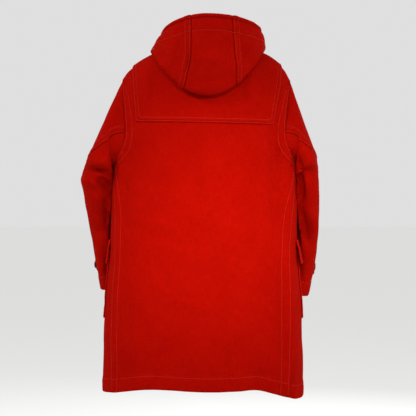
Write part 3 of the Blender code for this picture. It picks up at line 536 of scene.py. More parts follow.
@dataclass(frozen=True)
class Edge:
    """What is sewn along one edge of a piece.

    rows are the distances of its rows of stitching from the edge. rise is how far the doubled cloth stands
    up, as far as the last row, groove how far a row sinks in, puff how far the cloth swells between rows, and
    pucker how far it crinkles there. spread widens all the distances, fade scales all the heights and crinkle
    the puckers only, each by a share that depends on the place along the edge. stitched holds the places
    between which thread shows. blind rows are sunk in and show none. band is how far the first fold stands
    above the rest, as far as the first row.
    """

    rows: tuple[float, ...] = ()
    rise: float = 0.0
    groove: float = 0.75
    groove_width: float = 0.95
    puff: float = 0.35
    pucker: float = 0.0
    pucker_length: float = 13.0
    seed: int = 1
    spread: Shares = ((0.0, 1.0),)
    fade: Shares = ((0.0, 1.0),)
    crinkle: Shares = ((0.0, 1.0),)
    stitched: Shares = ((-99.0, 99.0),)
    blind: tuple[float, ...] = ()
    band: float = 0.0

    @property
    def last(self) -> float:
        """Distance of the last row, or 0 where there is none."""
        return max(self.rows, default=0.0)

    def stops(self) -> Array:
        """Distances from the edge at which the grid needs a line of points, none far apart or very close."""
        found = {*ROUNDING, *(self.last + off for off in DOWN_STEP)}
        found |= {row + off for row in self.rows for off in ACROSS_ROW}
        marks = sorted(mark for mark in found if mark >= 0)
        filled = [marks[0]]
        for mark in marks[1:]:
            pieces = int(np.ceil((mark - filled[-1]) / 3.4))
            filled += list(np.linspace(filled[-1], mark, pieces + 1)[1:])
        keep = [filled[0]]
        for mark in filled[1:]:
            if mark - keep[-1] > 0.45 or mark in self.rows:
                keep.append(mark)
        return np.array(keep)

    def width_share(self, place: Array) -> Array:
        """How much wider than stated the edge is at each place along it."""
        return share_at(self.spread, place)

    def height(self, distance: Array, along: Array, place: Array) -> Array:
        """How far the cloth stands up near the edge.

        Args:
            distance: distance from the edge, before spread.
            along: length walked along the edge.
            place: place along the edge, for what fades in or out.

        Returns:
            The doubled cloth's step, less the grooves, plus the swelling and the puckers between the rows.
        """
        last, length = self.last, self.pucker_length
        height = self.rise * (1 - smooth((distance - last - 1.6) / 2.6)) - 0.8 * (1 - smooth(distance / 1.8))
        if self.band:
            height = height + self.band * (1 - smooth((distance - self.rows[0] + 1.2) / 2.0))
        for row in self.rows:
            height = height - self.groove * bell((distance - row) / self.groove_width)
        if len(self.rows) > 1:
            between = np.sin(np.pi * np.clip((distance - self.rows[0]) / (last - self.rows[0]), 0, 1))
        else:
            between = bell((distance - last / 2) / max(last / 2, 3.0))
        waves = ripple(along, 0.35 * distance, length, self.seed, 5)
        waves = waves + 0.6 * ripple(along, distance, 0.55 * length, self.seed + 50, 5)
        near = (0.35 + 0.65 * between) * (1 - smooth((distance - last - 3) / 6))
        puckers = near * self.pucker * waves * share_at(self.crinkle, place)
        height = height + between * self.puff * (distance < last + 12) + puckers
        return height * share_at(self.fade, place)

    def is_stitched(self, place: Array) -> Array:
        """Whether there is stitching at each place along the edge."""
        return np.any([(place >= low) & (place <= high) for low, high in self.stitched], axis=0)


@dataclass(frozen=True)
class Crease:
    """A soft trough, or a ridge for a positive depth, along a bowed line seen from behind or from the front.

    start and end are (x, z), bow is how far the line's middle stands off it, and width is about half of the
    crease's.
    """

    start: tuple[float, float]
    end: tuple[float, float]
    width: float
    depth: float
    bow: float = 0.0
    behind: bool = True

    def height(self, points: Array, normals: Array) -> Array:
        """Heights from the crease: a bell across it, tapered to its ends, on its own side of the coat."""
        a, b = np.array(self.start, float), np.array(self.end, float)
        t = np.linspace(0, 1, 9)
        off = np.array([-(b - a)[1], (b - a)[0]]) / np.linalg.norm(b - a) * self.bow
        line = a + (b - a) * t[:, None] + off * (4 * t * (1 - t))[:, None]
        flat = points[..., (0, 2)][..., None, :]
        step = line[1:] - line[:-1]
        share = np.clip(((flat - line[:-1]) * step).sum(-1) / (step**2).sum(-1), 0, 1)
        gap = np.linalg.norm(flat - line[:-1] - step * share[..., None], axis=-1)
        nearest = gap.argmin(axis=-1)
        gap = np.take_along_axis(gap, nearest[..., None], -1)[..., 0]
        run = (nearest + np.take_along_axis(share, nearest[..., None], -1)[..., 0]) / 8
        taper = smooth(run / 0.35) * smooth((1 - run) / 0.35) * 0.85 + 0.15
        facing = smooth(normals[..., 1] * (1 if self.behind else -1) / 0.35)
        return self.depth * bell(gap / self.width) * taper * facing


# ---------------- meshes


def mesh_object(
    name: str, points: Array, faces: Array, uv: Array | None = None, sharp: float = 50.0
) -> Object:
    """A mesh at the origin from points in millimetres.

    Args:
        name: the piece's name.
        points: points, one to a row.
        faces: numbers of four points to a row. A triangle repeats its last point.
        uv: a coordinate in metres for each point, measured along the cloth.
        sharp: edges with a larger bend than this many degrees stay crisp.

    Returns:
        The linked object, its faces turned outwards.
    """
    points, faces = np.asarray(points, float) * MM, np.asarray(faces, int)
    a, b, c, d = (points[faces[:, k]] for k in range(4))
    volume = (a * np.cross(b, c)).sum() + (a * np.cross(c, d)).sum()
    if volume < 0:
        faces = faces[:, ::-1]
    rows = [tuple(dict.fromkeys(face)) for face in faces.tolist()]
    mesh = bpy.data.meshes.new(name)
    mesh.from_pydata(points.tolist(), [], [row for row in rows if len(row) > 2])
    if uv is not None:
        layer = mesh.uv_layers.new(name="weave")
        corner = np.empty(len(mesh.loops), int)
        mesh.loops.foreach_get("vertex_index", corner)
        layer.data.foreach_set("uv", np.asarray(uv, np.float32)[corner].ravel())
    mesh.update()
    mesh.shade_smooth()
    mesh.set_sharp_from_angle(angle=np.radians(sharp))
    made = bpy.data.objects.new(name, mesh)
    bpy.context.scene.collection.objects.link(made)
    return made


def grid_faces(rows: int, columns: int, ring: bool = False) -> Array:
    """Faces of a grid of points. ring joins each row's last point to its first."""
    row, column = np.meshgrid(np.arange(rows - 1), np.arange(columns if ring else columns - 1), indexing="ij")
    first, after = row * columns, (column + 1) % columns
    corners = [first + column, first + after, first + columns + after, first + columns + column]
    return np.stack(corners, axis=-1).reshape(-1, 4)


def border(rows: int, columns: int) -> Array:
    """Numbers of a grid's outline points, in order."""
    grid = np.arange(rows * columns).reshape(rows, columns)
    return np.concatenate([grid[0], grid[1:, -1], grid[-1, -2::-1], grid[-2:0:-1, 0]])


@dataclass
class Cloth:
    """A piece of cloth: a grid of outer points and of inner ones, with their outward directions."""

    points: Array
    inner: Array
    normals: Array
    upright: bool = False  # the weave's threads run level and upright, whatever way the grid runs
    uv: Array = field(init=False)
    cut: tuple[float, float] = field(init=False)

    def __post_init__(self) -> None:
        """Measures the piece along its own grid, from the middle column outwards, in metres."""
        middle = self.points.shape[1] // 2
        across, along = run_length(self.points, 1), run_length(self.points, 0)
        across = across - across[:, middle : middle + 1]
        along = 0.5 * along + 0.5 * along.mean(axis=1, keepdims=True)
        self.cut = (float(np.ptp(across)) * MM, float(np.ptp(along)) * MM)
        if self.upright:
            level = run_length(self.points * (1.0, 1.0, 0.0), 1)
            across, along = level - level[:, middle : middle + 1], self.points[..., 2]
        self.uv = np.stack([across, along], axis=-1) * MM

    def build(self, name: str) -> Object:
        """The wall: outer face, inner face, and an edge rounded in three steps of a flat half oval."""
        rows, columns = self.points.shape[:2]
        outer, inner = self.points, self.inner
        thick = np.linalg.norm(outer - inner, axis=-1).reshape(-1, 1)
        out = np.zeros_like(outer)
        out[0] += unit(outer[0] - outer[1])
        out[-1] += unit(outer[-1] - outer[-2])
        out[:, 0] += unit(outer[:, 0] - outer[:, 1])
        out[:, -1] += unit(outer[:, -1] - outer[:, -2])
        rim = border(rows, columns)
        lean = unit(out.reshape(-1, 3)[rim])
        up, middle = self.normals.reshape(-1, 3)[rim], ((outer + inner) / 2).reshape(-1, 3)[rim]
        bend = np.radians([50.0, 90.0, 130.0])[:, None, None]
        rounds = middle + (np.cos(bend) * up / 2 + np.sin(bend) * lean * 0.32) * thick[rim]
        count, length = rows * columns, len(rim)
        lines = [rim, *(2 * count + k * length + np.arange(length) for k in range(3)), rim + count]
        edge = [np.stack([a, np.roll(a, -1), np.roll(b, -1), b], axis=-1) for a, b in zip(lines, lines[1:])]
        face = grid_faces(rows, columns)
        faces = np.concatenate([face[:, ::-1], face + count, *edge])
        points = np.concatenate([outer.reshape(-1, 3), inner.reshape(-1, 3), rounds.reshape(-1, 3)])
        flat = self.uv.reshape(-1, 2)
        return mesh_object(name, points, faces, np.concatenate([flat, flat, *([flat[rim]] * 3)]))


@dataclass
class Stitching:
    """Rows of stitches: each a short thread that stands up in its middle and dips into the cloth at its ends.

    Each row of rings is a ring of a stitch: how far along it, as a share of its length, and how far it stands
    up and how thick it is, as shares of its radius.
    """

    pitch: float = 4.6
    length: float = 3.7
    radius: float = 0.6
    lift: float = 0.12
    rings: tuple = ((-0.5, -0.75, 0.45), (-0.27, 0.25, 1.0), (0.27, 0.25, 1.0), (0.5, -0.75, 0.45))
    sides: int = 5
    rows: list[tuple[Array, Array]] = field(default_factory=list)

    def add(self, points: Array, normals: Array) -> None:
        """Adds a row along these points of a piece, with the cloth's directions there."""
        if len(points) > 1:
            self.rows.append((points, normals))

    def _stations(self, points: Array, normals: Array) -> tuple[Array, Array, Array]:
        """Centres, headings and cloth directions of one row's stitches, at even steps along it."""
        run = run_length(points[None], 1)[0]
        count = int(run[-1] / self.pitch)
        at = (np.arange(count) + 0.5) * run[-1] / max(count, 1)
        heading = unit(read_along(at + 1.0, run, points) - read_along(at - 1.0, run, points))
        return read_along(at, run, points), heading, unit(read_along(at, run, normals))

    def build(self, name: str) -> Object:
        """One mesh of all the stitches: rings of points, closed at both ends by two faces."""
        stations = zip(*(self._stations(*row) for row in self.rows))
        centres, heading, up = (np.concatenate(parts) for parts in stations)
        across = unit(np.cross(heading, up))
        reach, sink, thick = np.array(self.rings).T[..., None, None]
        turn = np.linspace(0, 2 * np.pi, self.sides, endpoint=False)[None, :, None]
        centres, heading, across, up = (a[:, None, None] for a in (centres, heading, across, up))
        spine = centres + heading * (reach * self.length) + up * (sink * self.radius + self.lift)
        ring = across * np.cos(turn) * 1.15 + up * np.sin(turn)
        points = spine + ring * (thick * self.radius)
        caps = np.array([[4, 3, 2, 1], [4, 1, 0, 0], [15, 16, 17, 18], [15, 18, 19, 19]])
        one = np.concatenate([grid_faces(len(self.rings), self.sides, ring=True), caps])
        faces = one + len(self.rings) * self.sides * np.arange(len(centres))[:, None, None]
        return mesh_object(name, points.reshape(-1, 3), faces.reshape(-1, 4), sharp=180.0)


# ---------------- laying a piece out on its form


@dataclass(frozen=True)
class Edges:
    """The four edges of a piece: its first and last columns, its foot and its top."""

    first: Edge = Edge()
    last: Edge = Edge()
    foot: Edge = Edge()
    top: Edge = Edge()


@dataclass
class Laid:
    """A piece laid out on its form: every point's angle and place, and its distances from the four edges."""

    angle: Array
    place: Array
    from_first: Array
    from_last: Array
    from_foot: Array
    from_top: Array

    def relief(self, edges: Edges) -> Array:
        """How far the sewing along the four edges raises or sinks each point."""
        sides = ((edges.first, self.from_first), (edges.last, self.from_last))
        ends = ((edges.foot, self.from_foot), (edges.top, self.from_top))
        place, heights = self.place, []
        for edge, off in sides:
            heights.append(edge.height(off / edge.width_share(place), self.from_foot, place))
        for edge, off in ends:
            heights.append(edge.height(off, self.from_first, place))
        return sum(heights)


@dataclass(frozen=True)
class Panel:
    """A piece of cloth between two edges of a form, from one place along it to another."""

    form: Form
    start: Line
    end: Line
    high: float
    edges: Edges
    pitch: tuple[float, float] = (6.5, 6.5)

    def lay(self) -> Laid:
        """Columns at stated distances from the side edges, and rows at those from the foot and the top.

        Returns:
            The layout. Distances are walked along the form, and the columns and rows between those at the
            edges are evenly spaced.
        """
        edges = self.edges
        fine = np.linspace(0, self.high, 300)[:, None]
        a, b = self.start(fine), self.end(fine)
        share = np.linspace(0, 1, 61)
        run = run_length(self.form.point(a + (b - a) * share, fine + 0 * share), 1)
        width = run[:, -1:]
        first = edges.first.stops() * edges.first.width_share(fine)
        last = width - (edges.last.stops() * edges.last.width_share(fine))[:, ::-1]
        inside = between(first[:, -1:], last[:, :1], np.median(last[:, 0] - first[:, -1]) / self.pitch[0])
        across = np.hstack([first, inside, last])
        angle = a + (b - a) * look_up(across, run, np.tile(share, (len(fine), 1)))
        length = run_length(self.form.point(angle, fine + 0 * angle), 0)
        total = length[-1]
        foot = edges.foot.stops()[:, None] + 0 * total
        top = total - edges.top.stops()[::-1, None]
        inside = between(foot[-1][:, None], top[0][:, None], np.median(total) / self.pitch[1]).T
        rows = np.vstack([foot, inside, top])
        known = np.tile(fine[:, 0], (rows.shape[1], 1))
        place = look_up(rows.T, length.T, known).T
        grids = angle, across, width + 0 * across
        angle, walked, width = (look_up(place.T, known, grid.T).T for grid in grids)
        return Laid(angle, place, walked, width - walked, rows, total - rows)

    def cloth(self, laid: Laid, lift: Numbers = 0.0, upright: bool = False) -> Cloth:
        """The piece's wall, its outer face at a height above the form. upright is as in Cloth."""
        return dressed(self.form, laid, self.edges, lift, upright=upright)


def dressed(
    form: Form, laid: Laid, edges: Edges, lift: Numbers, thick: Numbers = CLOTH, upright: bool = False
) -> Cloth:
    """Cloth over points of a form, worn into the form's soft shape and raised by what is sewn into it.

    Args:
        form: the form.
        laid: the layout on it.
        edges: the piece's edges.
        lift: height of the piece's outer face above the form.
        thick: thickness of its wall.
        upright: whether its threads run level and upright.

    Returns:
        The cloth. Its inner face follows the worn form and only a quarter of what the sewing raises.
    """
    base, normals = form.point(laid.angle, laid.place), form.normal(laid.angle, laid.place)
    worn = form.wear(base, normals) + lift
    relief = laid.relief(edges)
    inner = base + normals * (worn + 0.25 * relief - thick)[..., None]
    return Cloth(base + normals * (worn + relief)[..., None], inner, normals, upright)


STOP_SHORT = 2.5  # a row of stitches ends this far before the piece's other edges


def sew(cloth: Cloth, laid: Laid, edges: Edges) -> Stitching:
    """Every row of stitching of a piece, along the grid's columns and rows that stand at its distances.

    Args:
        cloth: the piece.
        laid: its layout.
        edges: its edges, whose rows are sewn. Each row stops short of the piece's other edges.

    Returns:
        The stitching.
    """
    stitching = Stitching()
    beside = (laid.from_foot > STOP_SHORT) & (laid.from_top > STOP_SHORT)
    within = (laid.from_first > STOP_SHORT) & (laid.from_last > STOP_SHORT)
    for edge, is_last, is_level, clear in (
        (edges.first, False, False, beside),
        (edges.last, True, False, beside),
        (edges.foot, False, True, within),
        (edges.top, True, True, within),
    ):
        for row in sorted(set(edge.rows) - set(edge.blind)):
            line = int(np.argmin(np.abs(edge.stops() - row)))
            line = -1 - line if is_last else line
            where = np.s_[line, :] if is_level else np.s_[:, line]
            sewn = edge.is_stitched(laid.place[where]) & clear[where]
            cuts = np.flatnonzero(np.diff(np.r_[0, sewn.astype(int), 0]))
            for begin, stop in zip(cuts[::2], cuts[1::2]):
                if stop - begin > 2:
                    stitching.add(cloth.points[where][begin:stop], cloth.normals[where][begin:stop])
    return stitching


# ---------------- finishes


def linear(code: str) -> tuple[float, float, float, float]:
    """An sRGB hex colour as linear red, green, blue and alpha, by the sRGB curve's two parts."""
    values = np.array([int(code[k : k + 2], 16) for k in (1, 3, 5)]) / 255
    low, high = values / 12.92, ((values + 0.055) / 1.055) ** 2.4
    return (*np.where(values <= 0.04045, low, high).tolist(), 1.0)


def set_inputs(tree: NodeTree, node: Node, **inputs: object) -> None:
    """Sets a node's sockets by name, spaces written as underscores, or by number as in_0 and in_1.

    A socket, or a node's first output, is linked, and anything else is the socket's own value.
    """
    for name, value in inputs.items():
        socket = node.inputs[int(name[3:])] if name.startswith("in_") else node.inputs[name.replace("_", " ")]
        if isinstance(value, Node):
            value = next(output for output in value.outputs if output.enabled)
        if isinstance(value, NodeSocket):
            tree.links.new(value, socket)
        else:
            socket.default_value = value


def add_node(tree: NodeTree, kind: str, settings: dict | None = None, **inputs: object) -> Node:
    """Adds a node to a tree.

    Args:
        tree: the material's node tree.
        kind: the node's type, without "ShaderNode".
        settings: its own properties.
        inputs: its sockets, as in set_inputs.

    Returns:
        The node.
    """
    node = tree.nodes.new(f"ShaderNode{kind}")
    for name, value in (settings or {}).items():
        setattr(node, name, value)
    set_inputs(tree, node, **inputs)
    return node


def add_maths(tree: NodeTree, kind: str, operation: str, *values: object) -> Node:
    """Adds a node of kind Math or VectorMath that works on these values, in their order."""
    inputs = {f"in_{number}": value for number, value in enumerate(values)}
    return add_node(tree, kind, {"operation": operation}, **inputs)


def add_mix(tree: NodeTree, share: Node, low: str, high: str) -> Node:
    """Adds a mix of two sRGB hex colours by a share."""
    return add_node(tree, "Mix", {"data_type": "RGBA"}, in_0=share, in_6=linear(low), in_7=linear(high))


def first_of(tree: NodeTree, kind: str) -> Node:
    """The node of a kind that a new tree starts with."""
    return next(node for node in tree.nodes if node.type == kind)


class Finish:
    """A material, made once and given to every piece that has it."""

    name: str = ""

    def make(self, tree: NodeTree, shader: Node) -> None:
        """Adds the finish's nodes and links them to the shader."""
        raise NotImplementedError

    def material(self) -> Material:
        """The material, made the first time it is asked for."""
        found = bpy.data.materials.get(self.name)
        if found is None:
            found = bpy.data.materials.new(self.name)
            found.use_nodes = True
            self.make(found.node_tree, first_of(found.node_tree, "BSDF_PRINCIPLED"))
        return found

    def dress(self, piece: Object) -> None:
        """Gives the piece this finish and no other."""
        piece.data.materials.clear()
        piece.data.materials.append(self.material())


@dataclass(frozen=True)
class DuffleWool(Finish):
    """Double-faced wool, woven plain from thick uneven yarn, milled and brushed: matt, with a short nap that
    hides most of the weave, slubs that run both ways and a faint glow at grazing angles."""

    name: str = "duffle_wool_red"
    deep: str = "#6D0200"
    usual: str = "#8F0500"
    bright: str = "#A81105"
    glow: str = "#F0401C"
    yarn: float = 1.9  # millimetres between yarns. The real cloth's 1.3 is drawn coarser, so that it shows
    slub: float = 16.0

    def make(self, tree: NodeTree, shader: Node) -> None:
        """Yarns as two crossed waves, slubs as noise drawn out along each of them, nap as fine noise."""
        uv = add_node(tree, "UVMap", {"uv_map": "weave"})
        at = add_node(tree, "VectorMath", {"operation": "SCALE"}, in_0=uv, Scale=1000.0)  # millimetres
        wobble = add_node(tree, "TexNoise", Vector=at, Scale=0.16, Detail=2.0)
        bent = add_maths(tree, "VectorMath", "MULTIPLY_ADD", wobble.outputs["Color"], (1.1, 1.1, 0), at)
        scale = 2 * np.pi / 20 / self.yarn
        bands = []
        for way in ("X", "Y"):
            band = add_node(tree, "TexWave", {"bands_direction": way}, Vector=bent, Scale=scale)
            bands.append(band.outputs["Fac"])
        weave = add_maths(tree, "Math", "MULTIPLY", *bands)
        streaks = []
        for stretch in ((1 / self.yarn, 1 / self.slub, 1), (1 / self.slub, 1 / self.yarn, 1)):
            drawn = add_maths(tree, "VectorMath", "MULTIPLY", at, stretch)
            streaks.append(add_node(tree, "TexNoise", Vector=drawn, Scale=0.62, Detail=3.0, Roughness=0.6))
        slubs = add_maths(tree, "Math", "ADD", *streaks)
        nap = add_node(tree, "TexNoise", Vector=at, Scale=1.1, Detail=4.0, Roughness=0.7)
        cloudy = add_node(tree, "TexNoise", Vector=at, Scale=0.012, Detail=2.0)
        tone = -0.02
        for layer, weight in ((slubs, 0.32), (weave, 0.10), (nap, 0.22), (cloudy, 0.16)):
            tone = add_maths(tree, "Math", "MULTIPLY_ADD", layer, weight, tone)
        ramp = add_node(tree, "ValToRGB", Fac=tone)
        stops = ramp.color_ramp.elements
        stops[0].position, stops[0].color = 0.16, linear(self.deep)
        stops[1].position, stops[1].color = 0.92, linear(self.bright)
        stops.new(0.52).color = linear(self.usual)
        high = weave
        for layer, weight in ((slubs, 0.5), (nap, 0.9)):
            high = add_maths(tree, "Math", "MULTIPLY_ADD", layer, weight, high)
        bump = add_node(tree, "Bump", Height=high, Strength=0.55, Distance=0.0007)
        set_inputs(tree, shader, Base_Color=ramp, Normal=bump, Roughness=0.93, Specular_IOR_Level=0.012)
        set_inputs(tree, shader, Sheen_Weight=0.03, Sheen_Roughness=0.45, Sheen_Tint=linear(self.glow))


@dataclass(frozen=True)
class SewingThread(Finish):
    """Thick twisted polyester topstitching thread, a little lighter and shinier than the wool round it."""

    name: str = "topstitch_thread_red"
    colour: str = "#BC2A1E"
    # a darker copy of the colour: painted shade of the twist
    shade: str = "#A2170E"
    twist: float = 0.9

    def make(self, tree: NodeTree, shader: Node) -> None:
        """Noise across Object coordinates mixes the thread's colour with a darker copy of it: painted shade
        that stands in for the light and dark of the twist.
        """
        at = add_node(tree, "TexCoord").outputs["Object"]
        noise = add_node(tree, "TexNoise", Vector=at, Scale=1000 / self.twist, Detail=2.0)
        # the thread's colour, darkened in places by painted shade of its twist
        colour = add_mix(tree, noise, self.shade, self.colour)
        set_inputs(tree, shader, Base_Color=colour, Roughness=0.7, Specular_IOR_Level=0.08)


@dataclass(frozen=True)
class BridleLeather(Finish):
    """Vegetable-tanned cowhide, dyed dark brown and waxed: a low satin gloss over a fine pebbled grain, paler
    where it is worn and with pores too fine to show."""

    name: str = "bridle_leather_dark"
    colour: str = "#2A150C"
    worn: str = "#4E2C1A"
    grain: float = 1.3

    def make(self, tree: NodeTree, shader: Node) -> None:
        """Grain as small cells, with broad noise between the dyed and the worn colour."""
        at = add_node(tree, "TexCoord").outputs["Object"]
        cells = add_node(tree, "TexVoronoi", Vector=at, Scale=1000 / self.grain)
        broad = add_node(tree, "TexNoise", Vector=at, Scale=90.0, Detail=4.0)
        spread = add_node(tree, "MapRange", Value=broad, From_Min=0.42, From_Max=0.78)
        colour = add_mix(tree, spread, self.colour, self.worn)
        bump = add_node(tree, "Bump", Height=cells, Strength=0.35, Distance=0.0003)
        rough = add_node(tree, "MapRange", Value=broad, To_Min=0.5, To_Max=0.72)
        set_inputs(tree, shader, Base_Color=colour, Normal=bump, Roughness=rough, Specular_IOR_Level=0.22)


@dataclass(frozen=True)
class PolishedHorn(Finish):
    """Buffalo horn, turned and polished: nearly black, glossy, with brown streaks along the piece."""

    name: str = "polished_horn_dark"
    colour: str = "#120C0A"
    streak: str = "#4B3122"

    def make(self, tree: NodeTree, shader: Node) -> None:
        """Streaks as noise drawn out along the height, in Object coordinates."""
        at = add_node(tree, "TexCoord").outputs["Object"]
        drawn = add_maths(tree, "VectorMath", "MULTIPLY", at, (420.0, 420.0, 60.0))
        noise = add_node(tree, "TexNoise", Vector=drawn, Scale=1.0, Detail=5.0, Roughness=0.65)
        spread = add_node(tree, "MapRange", Value=noise, From_Min=0.5, From_Max=0.85)
        colour = add_mix(tree, spread, self.colour, self.streak)
        set_inputs(tree, shader, Base_Color=colour, Roughness=0.26, Specular_IOR_Level=0.35)


WOOL, THREAD, LEATHER, HORN = DuffleWool(), SewingThread(), BridleLeather(), PolishedHorn()
# its second colour is the painted shade of its twist
WAXED = SewingThread("waxed_thread_brown", "#3A2418", "#20130D")


class Slot(Enum):
    """Material slots for wool, leather and horn."""

    WOOL = "red_wool"
    LEATHER = "dark_leather"
    HORN = "dark_horn"


def put_on(piece: Object, finish: Finish, slot: Slot, *nodes: str) -> Object:
    """Finishes a piece and ties it to the model: material, body and the nodes that it stands for."""
    finish.dress(piece)
    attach(piece, "root")
    if nodes:
        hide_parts(*nodes)
    LOG.info("%s: %d faces", piece.name, len(piece.data.polygons))
    return piece


def hang(
    name: str, cloth: Cloth, laid: Laid, edges: Edges
) -> Object:
    """Builds a piece of wool and sews its edges.

    Args:
        name: the node that it stands for, which is the piece's name too, with "cloth" added.
        cloth: the piece.
        laid: its layout.
        edges: its edges.

    Returns:
        The finished piece.
    """
    stitching = sew(cloth, laid, edges)
    piece = put_on(cloth.build(f"{name}_cloth"), WOOL, Slot.WOOL, name)
    threads = [put_on(stitching.build(f"{name}_stitches"), THREAD, Slot.WOOL)] if stitching.rows else []
    return piece


# ---------------- the coat's own sizes

OVERLAP = 36.0  # how far each front reaches past the centre line
TUCK = 84.0  # and how far on its own side of it the right one starts to sink in under the left one
HALF_GAP = 0.25  # half of the gap between two pieces at a seam


def creases(behind: bool, *rows: tuple) -> tuple[Crease, ...]:
    """Creases of use, from rows of the start's x and z, the end's x and z, width, depth and bow."""
    return tuple(Crease((a, b), (c, d), width, depth, bow, behind) for a, b, c, d, width, depth, bow in rows)


# Start x and z, end x and z, width, depth and bow
BACK_WEAR = creases(
    True,
    (210, -186, 217, -324, 10, -6.4, 3),
    (222, -310, 228, -520, 13, -6.4, 3),
    (-186, -150, -190, -580, 16, -11.0, -3),
    (-222, -226, -228, -560, 14, 7.0, -3),
    (-204, -520, -216, -890, 12, -7.0, 4),
    (-232, -520, -240, -860, 12, 4.0, 4),
    (160, -40, 157, -190, 12, 5.0, 3),
    (-197, -60, -200, -196, 10, 5.3, -3),
    (-118, -56, -124, -190, 14, 4.5, 3),
    (-66, -190, -74, -250, 13, -3.6, 3),
    (4, -226, -2, -440, 24, 6.4, 4),
    (-60, -400, -66, -650, 30, 6.4, 6),
    (204, -466, 40, -506, 17, 1.4, -8),
    (196, -500, 30, -540, 20, -1.2, -8),
    (150, -640, -40, -700, 18, 2.5, 22),
    (-60, -820, -58, -945, 11, -4.8, 3),
    (-94, -860, -96, -950, 14, 3.4, 3),
    (-150, -850, -152, -950, 15, -3.9, 4),
    (146, -856, 142, -940, 16, -3.6, -4),
    (52, -800, 58, -930, 18, 3.1, 6),
    (190, -700, 184, -945, 13, 3.1, 6),
    (-236, -800, -240, -950, 12, 3.6, 4),
)
FRONT_WEAR = creases(
    False,
    (200, -230, 120, -330, 14, -2.8, -10),
    (-205, -235, -118, -345, 15, -2.8, 10),
    (150, -300, 40, -420, 20, 2.0, -14),
    (-160, -330, -60, -450, 21, 2.0, 12),
    (70, -430, 74, -520, 15, -1.8, 6),
    (-66, -560, -80, -700, 17, -2.0, -8),
    (120, -700, 132, -940, 14, -3.0, 8),
    (178, -650, 196, -940, 13, 2.6, 8),
    (-112, -720, -104, -945, 13, -2.8, -6),
    (-168, -660, -186, -950, 14, 2.6, -8),
    (56, -640, 60, -930, 12, -2.2, -5),
)
ARM_WEAR = {
    Side.LEFT: creases(
        True,
        (268, -180, 318, -240, 13, -2.2, 8),
        (262, -236, 324, -280, 12, 2.4, 8),
        (338, -314, 262, -309, 10, 6.0, -4),
        (346, -330, 260, -332, 5.5, -6.5, -3),
        (304, -342, 256, -376, 13, -12.0, 4),
        (346, -346, 288, -368, 5, 3.6, 4),
        (338, -374, 284, -386, 8, -3.4, 4),
        (322, -392, 286, -426, 11, 4.0, -4),
        (274, -380, 270, -520, 14, -15.0, 3),
        (288, -530, 284, -656, 12, -8.0, 2),
        (322, -440, 280, -452, 9, -2.6, 6),
        (330, -470, 282, -505, 12, -2.0, 6),
        (326, -540, 300, -640, 9, 1.8, -4),
    )
    + creases(
        False,
        (280, -190, 322, -250, 13, -2.4, -8),
        (266, -296, 338, -312, 11, 4.5, -6),
        (264, -330, 340, -338, 9, -5.5, -5),
        (284, -352, 338, -374, 7, 2.6, -5),
        (270, -384, 330, -430, 10, -3.0, 6),
        (300, -480, 286, -620, 11, -2.0, 5),
    ),
    Side.RIGHT: creases(
        True,
        (-250, -190, -292, -250, 13, -2.6, -8),
        (-286, -232, -258, -262, 9, -2.2, 4),
        (-262, -262, -284, -326, 14, 10.0, -5),
        (-244, -280, -256, -350, 9, -13.0, -3),
        (-252, -352, -308, -331, 7, -7.5, -14),
        (-252, -330, -260, -430, 12, -15.0, -2),
        (-284, -384, -316, -496, 12, 5.0, 6),
        (-256, -410, -296, -556, 17, -14.0, 6),
        (-262, -540, -270, -640, 9, -5.0, 3),
        (-300, -420, -312, -520, 10, 2.4, 5),
        (-286, -560, -300, -660, 10, -2.0, 5),
        (-248, -560, -258, -660, 9, -2.0, -4),
    )
    + creases(
        False,
        (-262, -190, -300, -250, 13, -2.4, 8),
        (-250, -300, -308, -318, 11, 4.5, 6),
        (-250, -346, -308, -344, 9, -5.5, 5),
        (-262, -380, -304, -410, 10, 3.0, 4),
        (-256, -440, -300, -520, 10, -3.0, 5),
        (-280, -520, -270, -650, 11, 2.0, -5),
    ),
}
HOOD_WEAR = creases(
    True,
    (27, -4, 50, -80, 9, 6.5, -5),
    (45, -30, 56, -72, 7, -5.0, -3),
    (34, -34, -64, -38, 20, 6.0, -4),
    (26, -96, -58, -98, 16, -3.0, -5),
    (64, 16, 80, -60, 13, -4.0, 6),
    (96, 20, 80, -50, 14, 4.0, 8),
    (144, -24, 107, -50, 9, 4.6, 5),
    (132, -12, 92, -32, 9, -4.2, 5),
    (-20, 36, -32, -20, 14, 3.0, -6),
    (-92, -26, -73, -82, 12, 4.4, 6),
    (-100, 16, -107, -40, 12, -5.0, 6),
    (-118, 16, -130, -28, 10, 4.0, 4),
    (-58, 50, -114, 22, 11, -3.0, 6),
)

# Columns as in SleeveForm.cuffs, a row for each ring from below the armhole to the wrist
LEFT_SLEEVE = (
    (258, -124, 262, -320, 0, 70, 0),
    (284, -180, 259, -329, -2, 74, 0),
    (311, -240, 256, -338, -5, 75, 0),
    (335, -296, 254, -348, -10, 74, 4),
    (352, -342, 256, -366, -18, 71, 9),
    (346, -402, 256, -414, -36, 68, 13),
    (337, -468, 256, -475, -62, 66, 13),
    (328, -534, 256, -539, -90, 64, 11),
    (319, -598, 254, -597, -115, 62, 8),
    (309, -664, 248, -657, -134, 60, 4),
)
RIGHT_SLEEVE = (
    (248, -127, 246, -319, 0, 70, 0),
    (267, -180, 242, -329, -2, 74, 0),
    (289, -238, 238, -338, -5, 75, 0),
    (306, -293, 238, -349, -9, 75, 3),
    (313, -348, 242, -367, -17, 74, 7),
    (317, -410, 240, -419, -35, 71, 10),
    (318, -472, 240, -479, -60, 69, 11),
    (316, -540, 240, -544, -90, 67, 10),
    (309, -608, 238, -606, -117, 64, 7),
    (295, -682, 234, -672, -136, 61, 4),
)
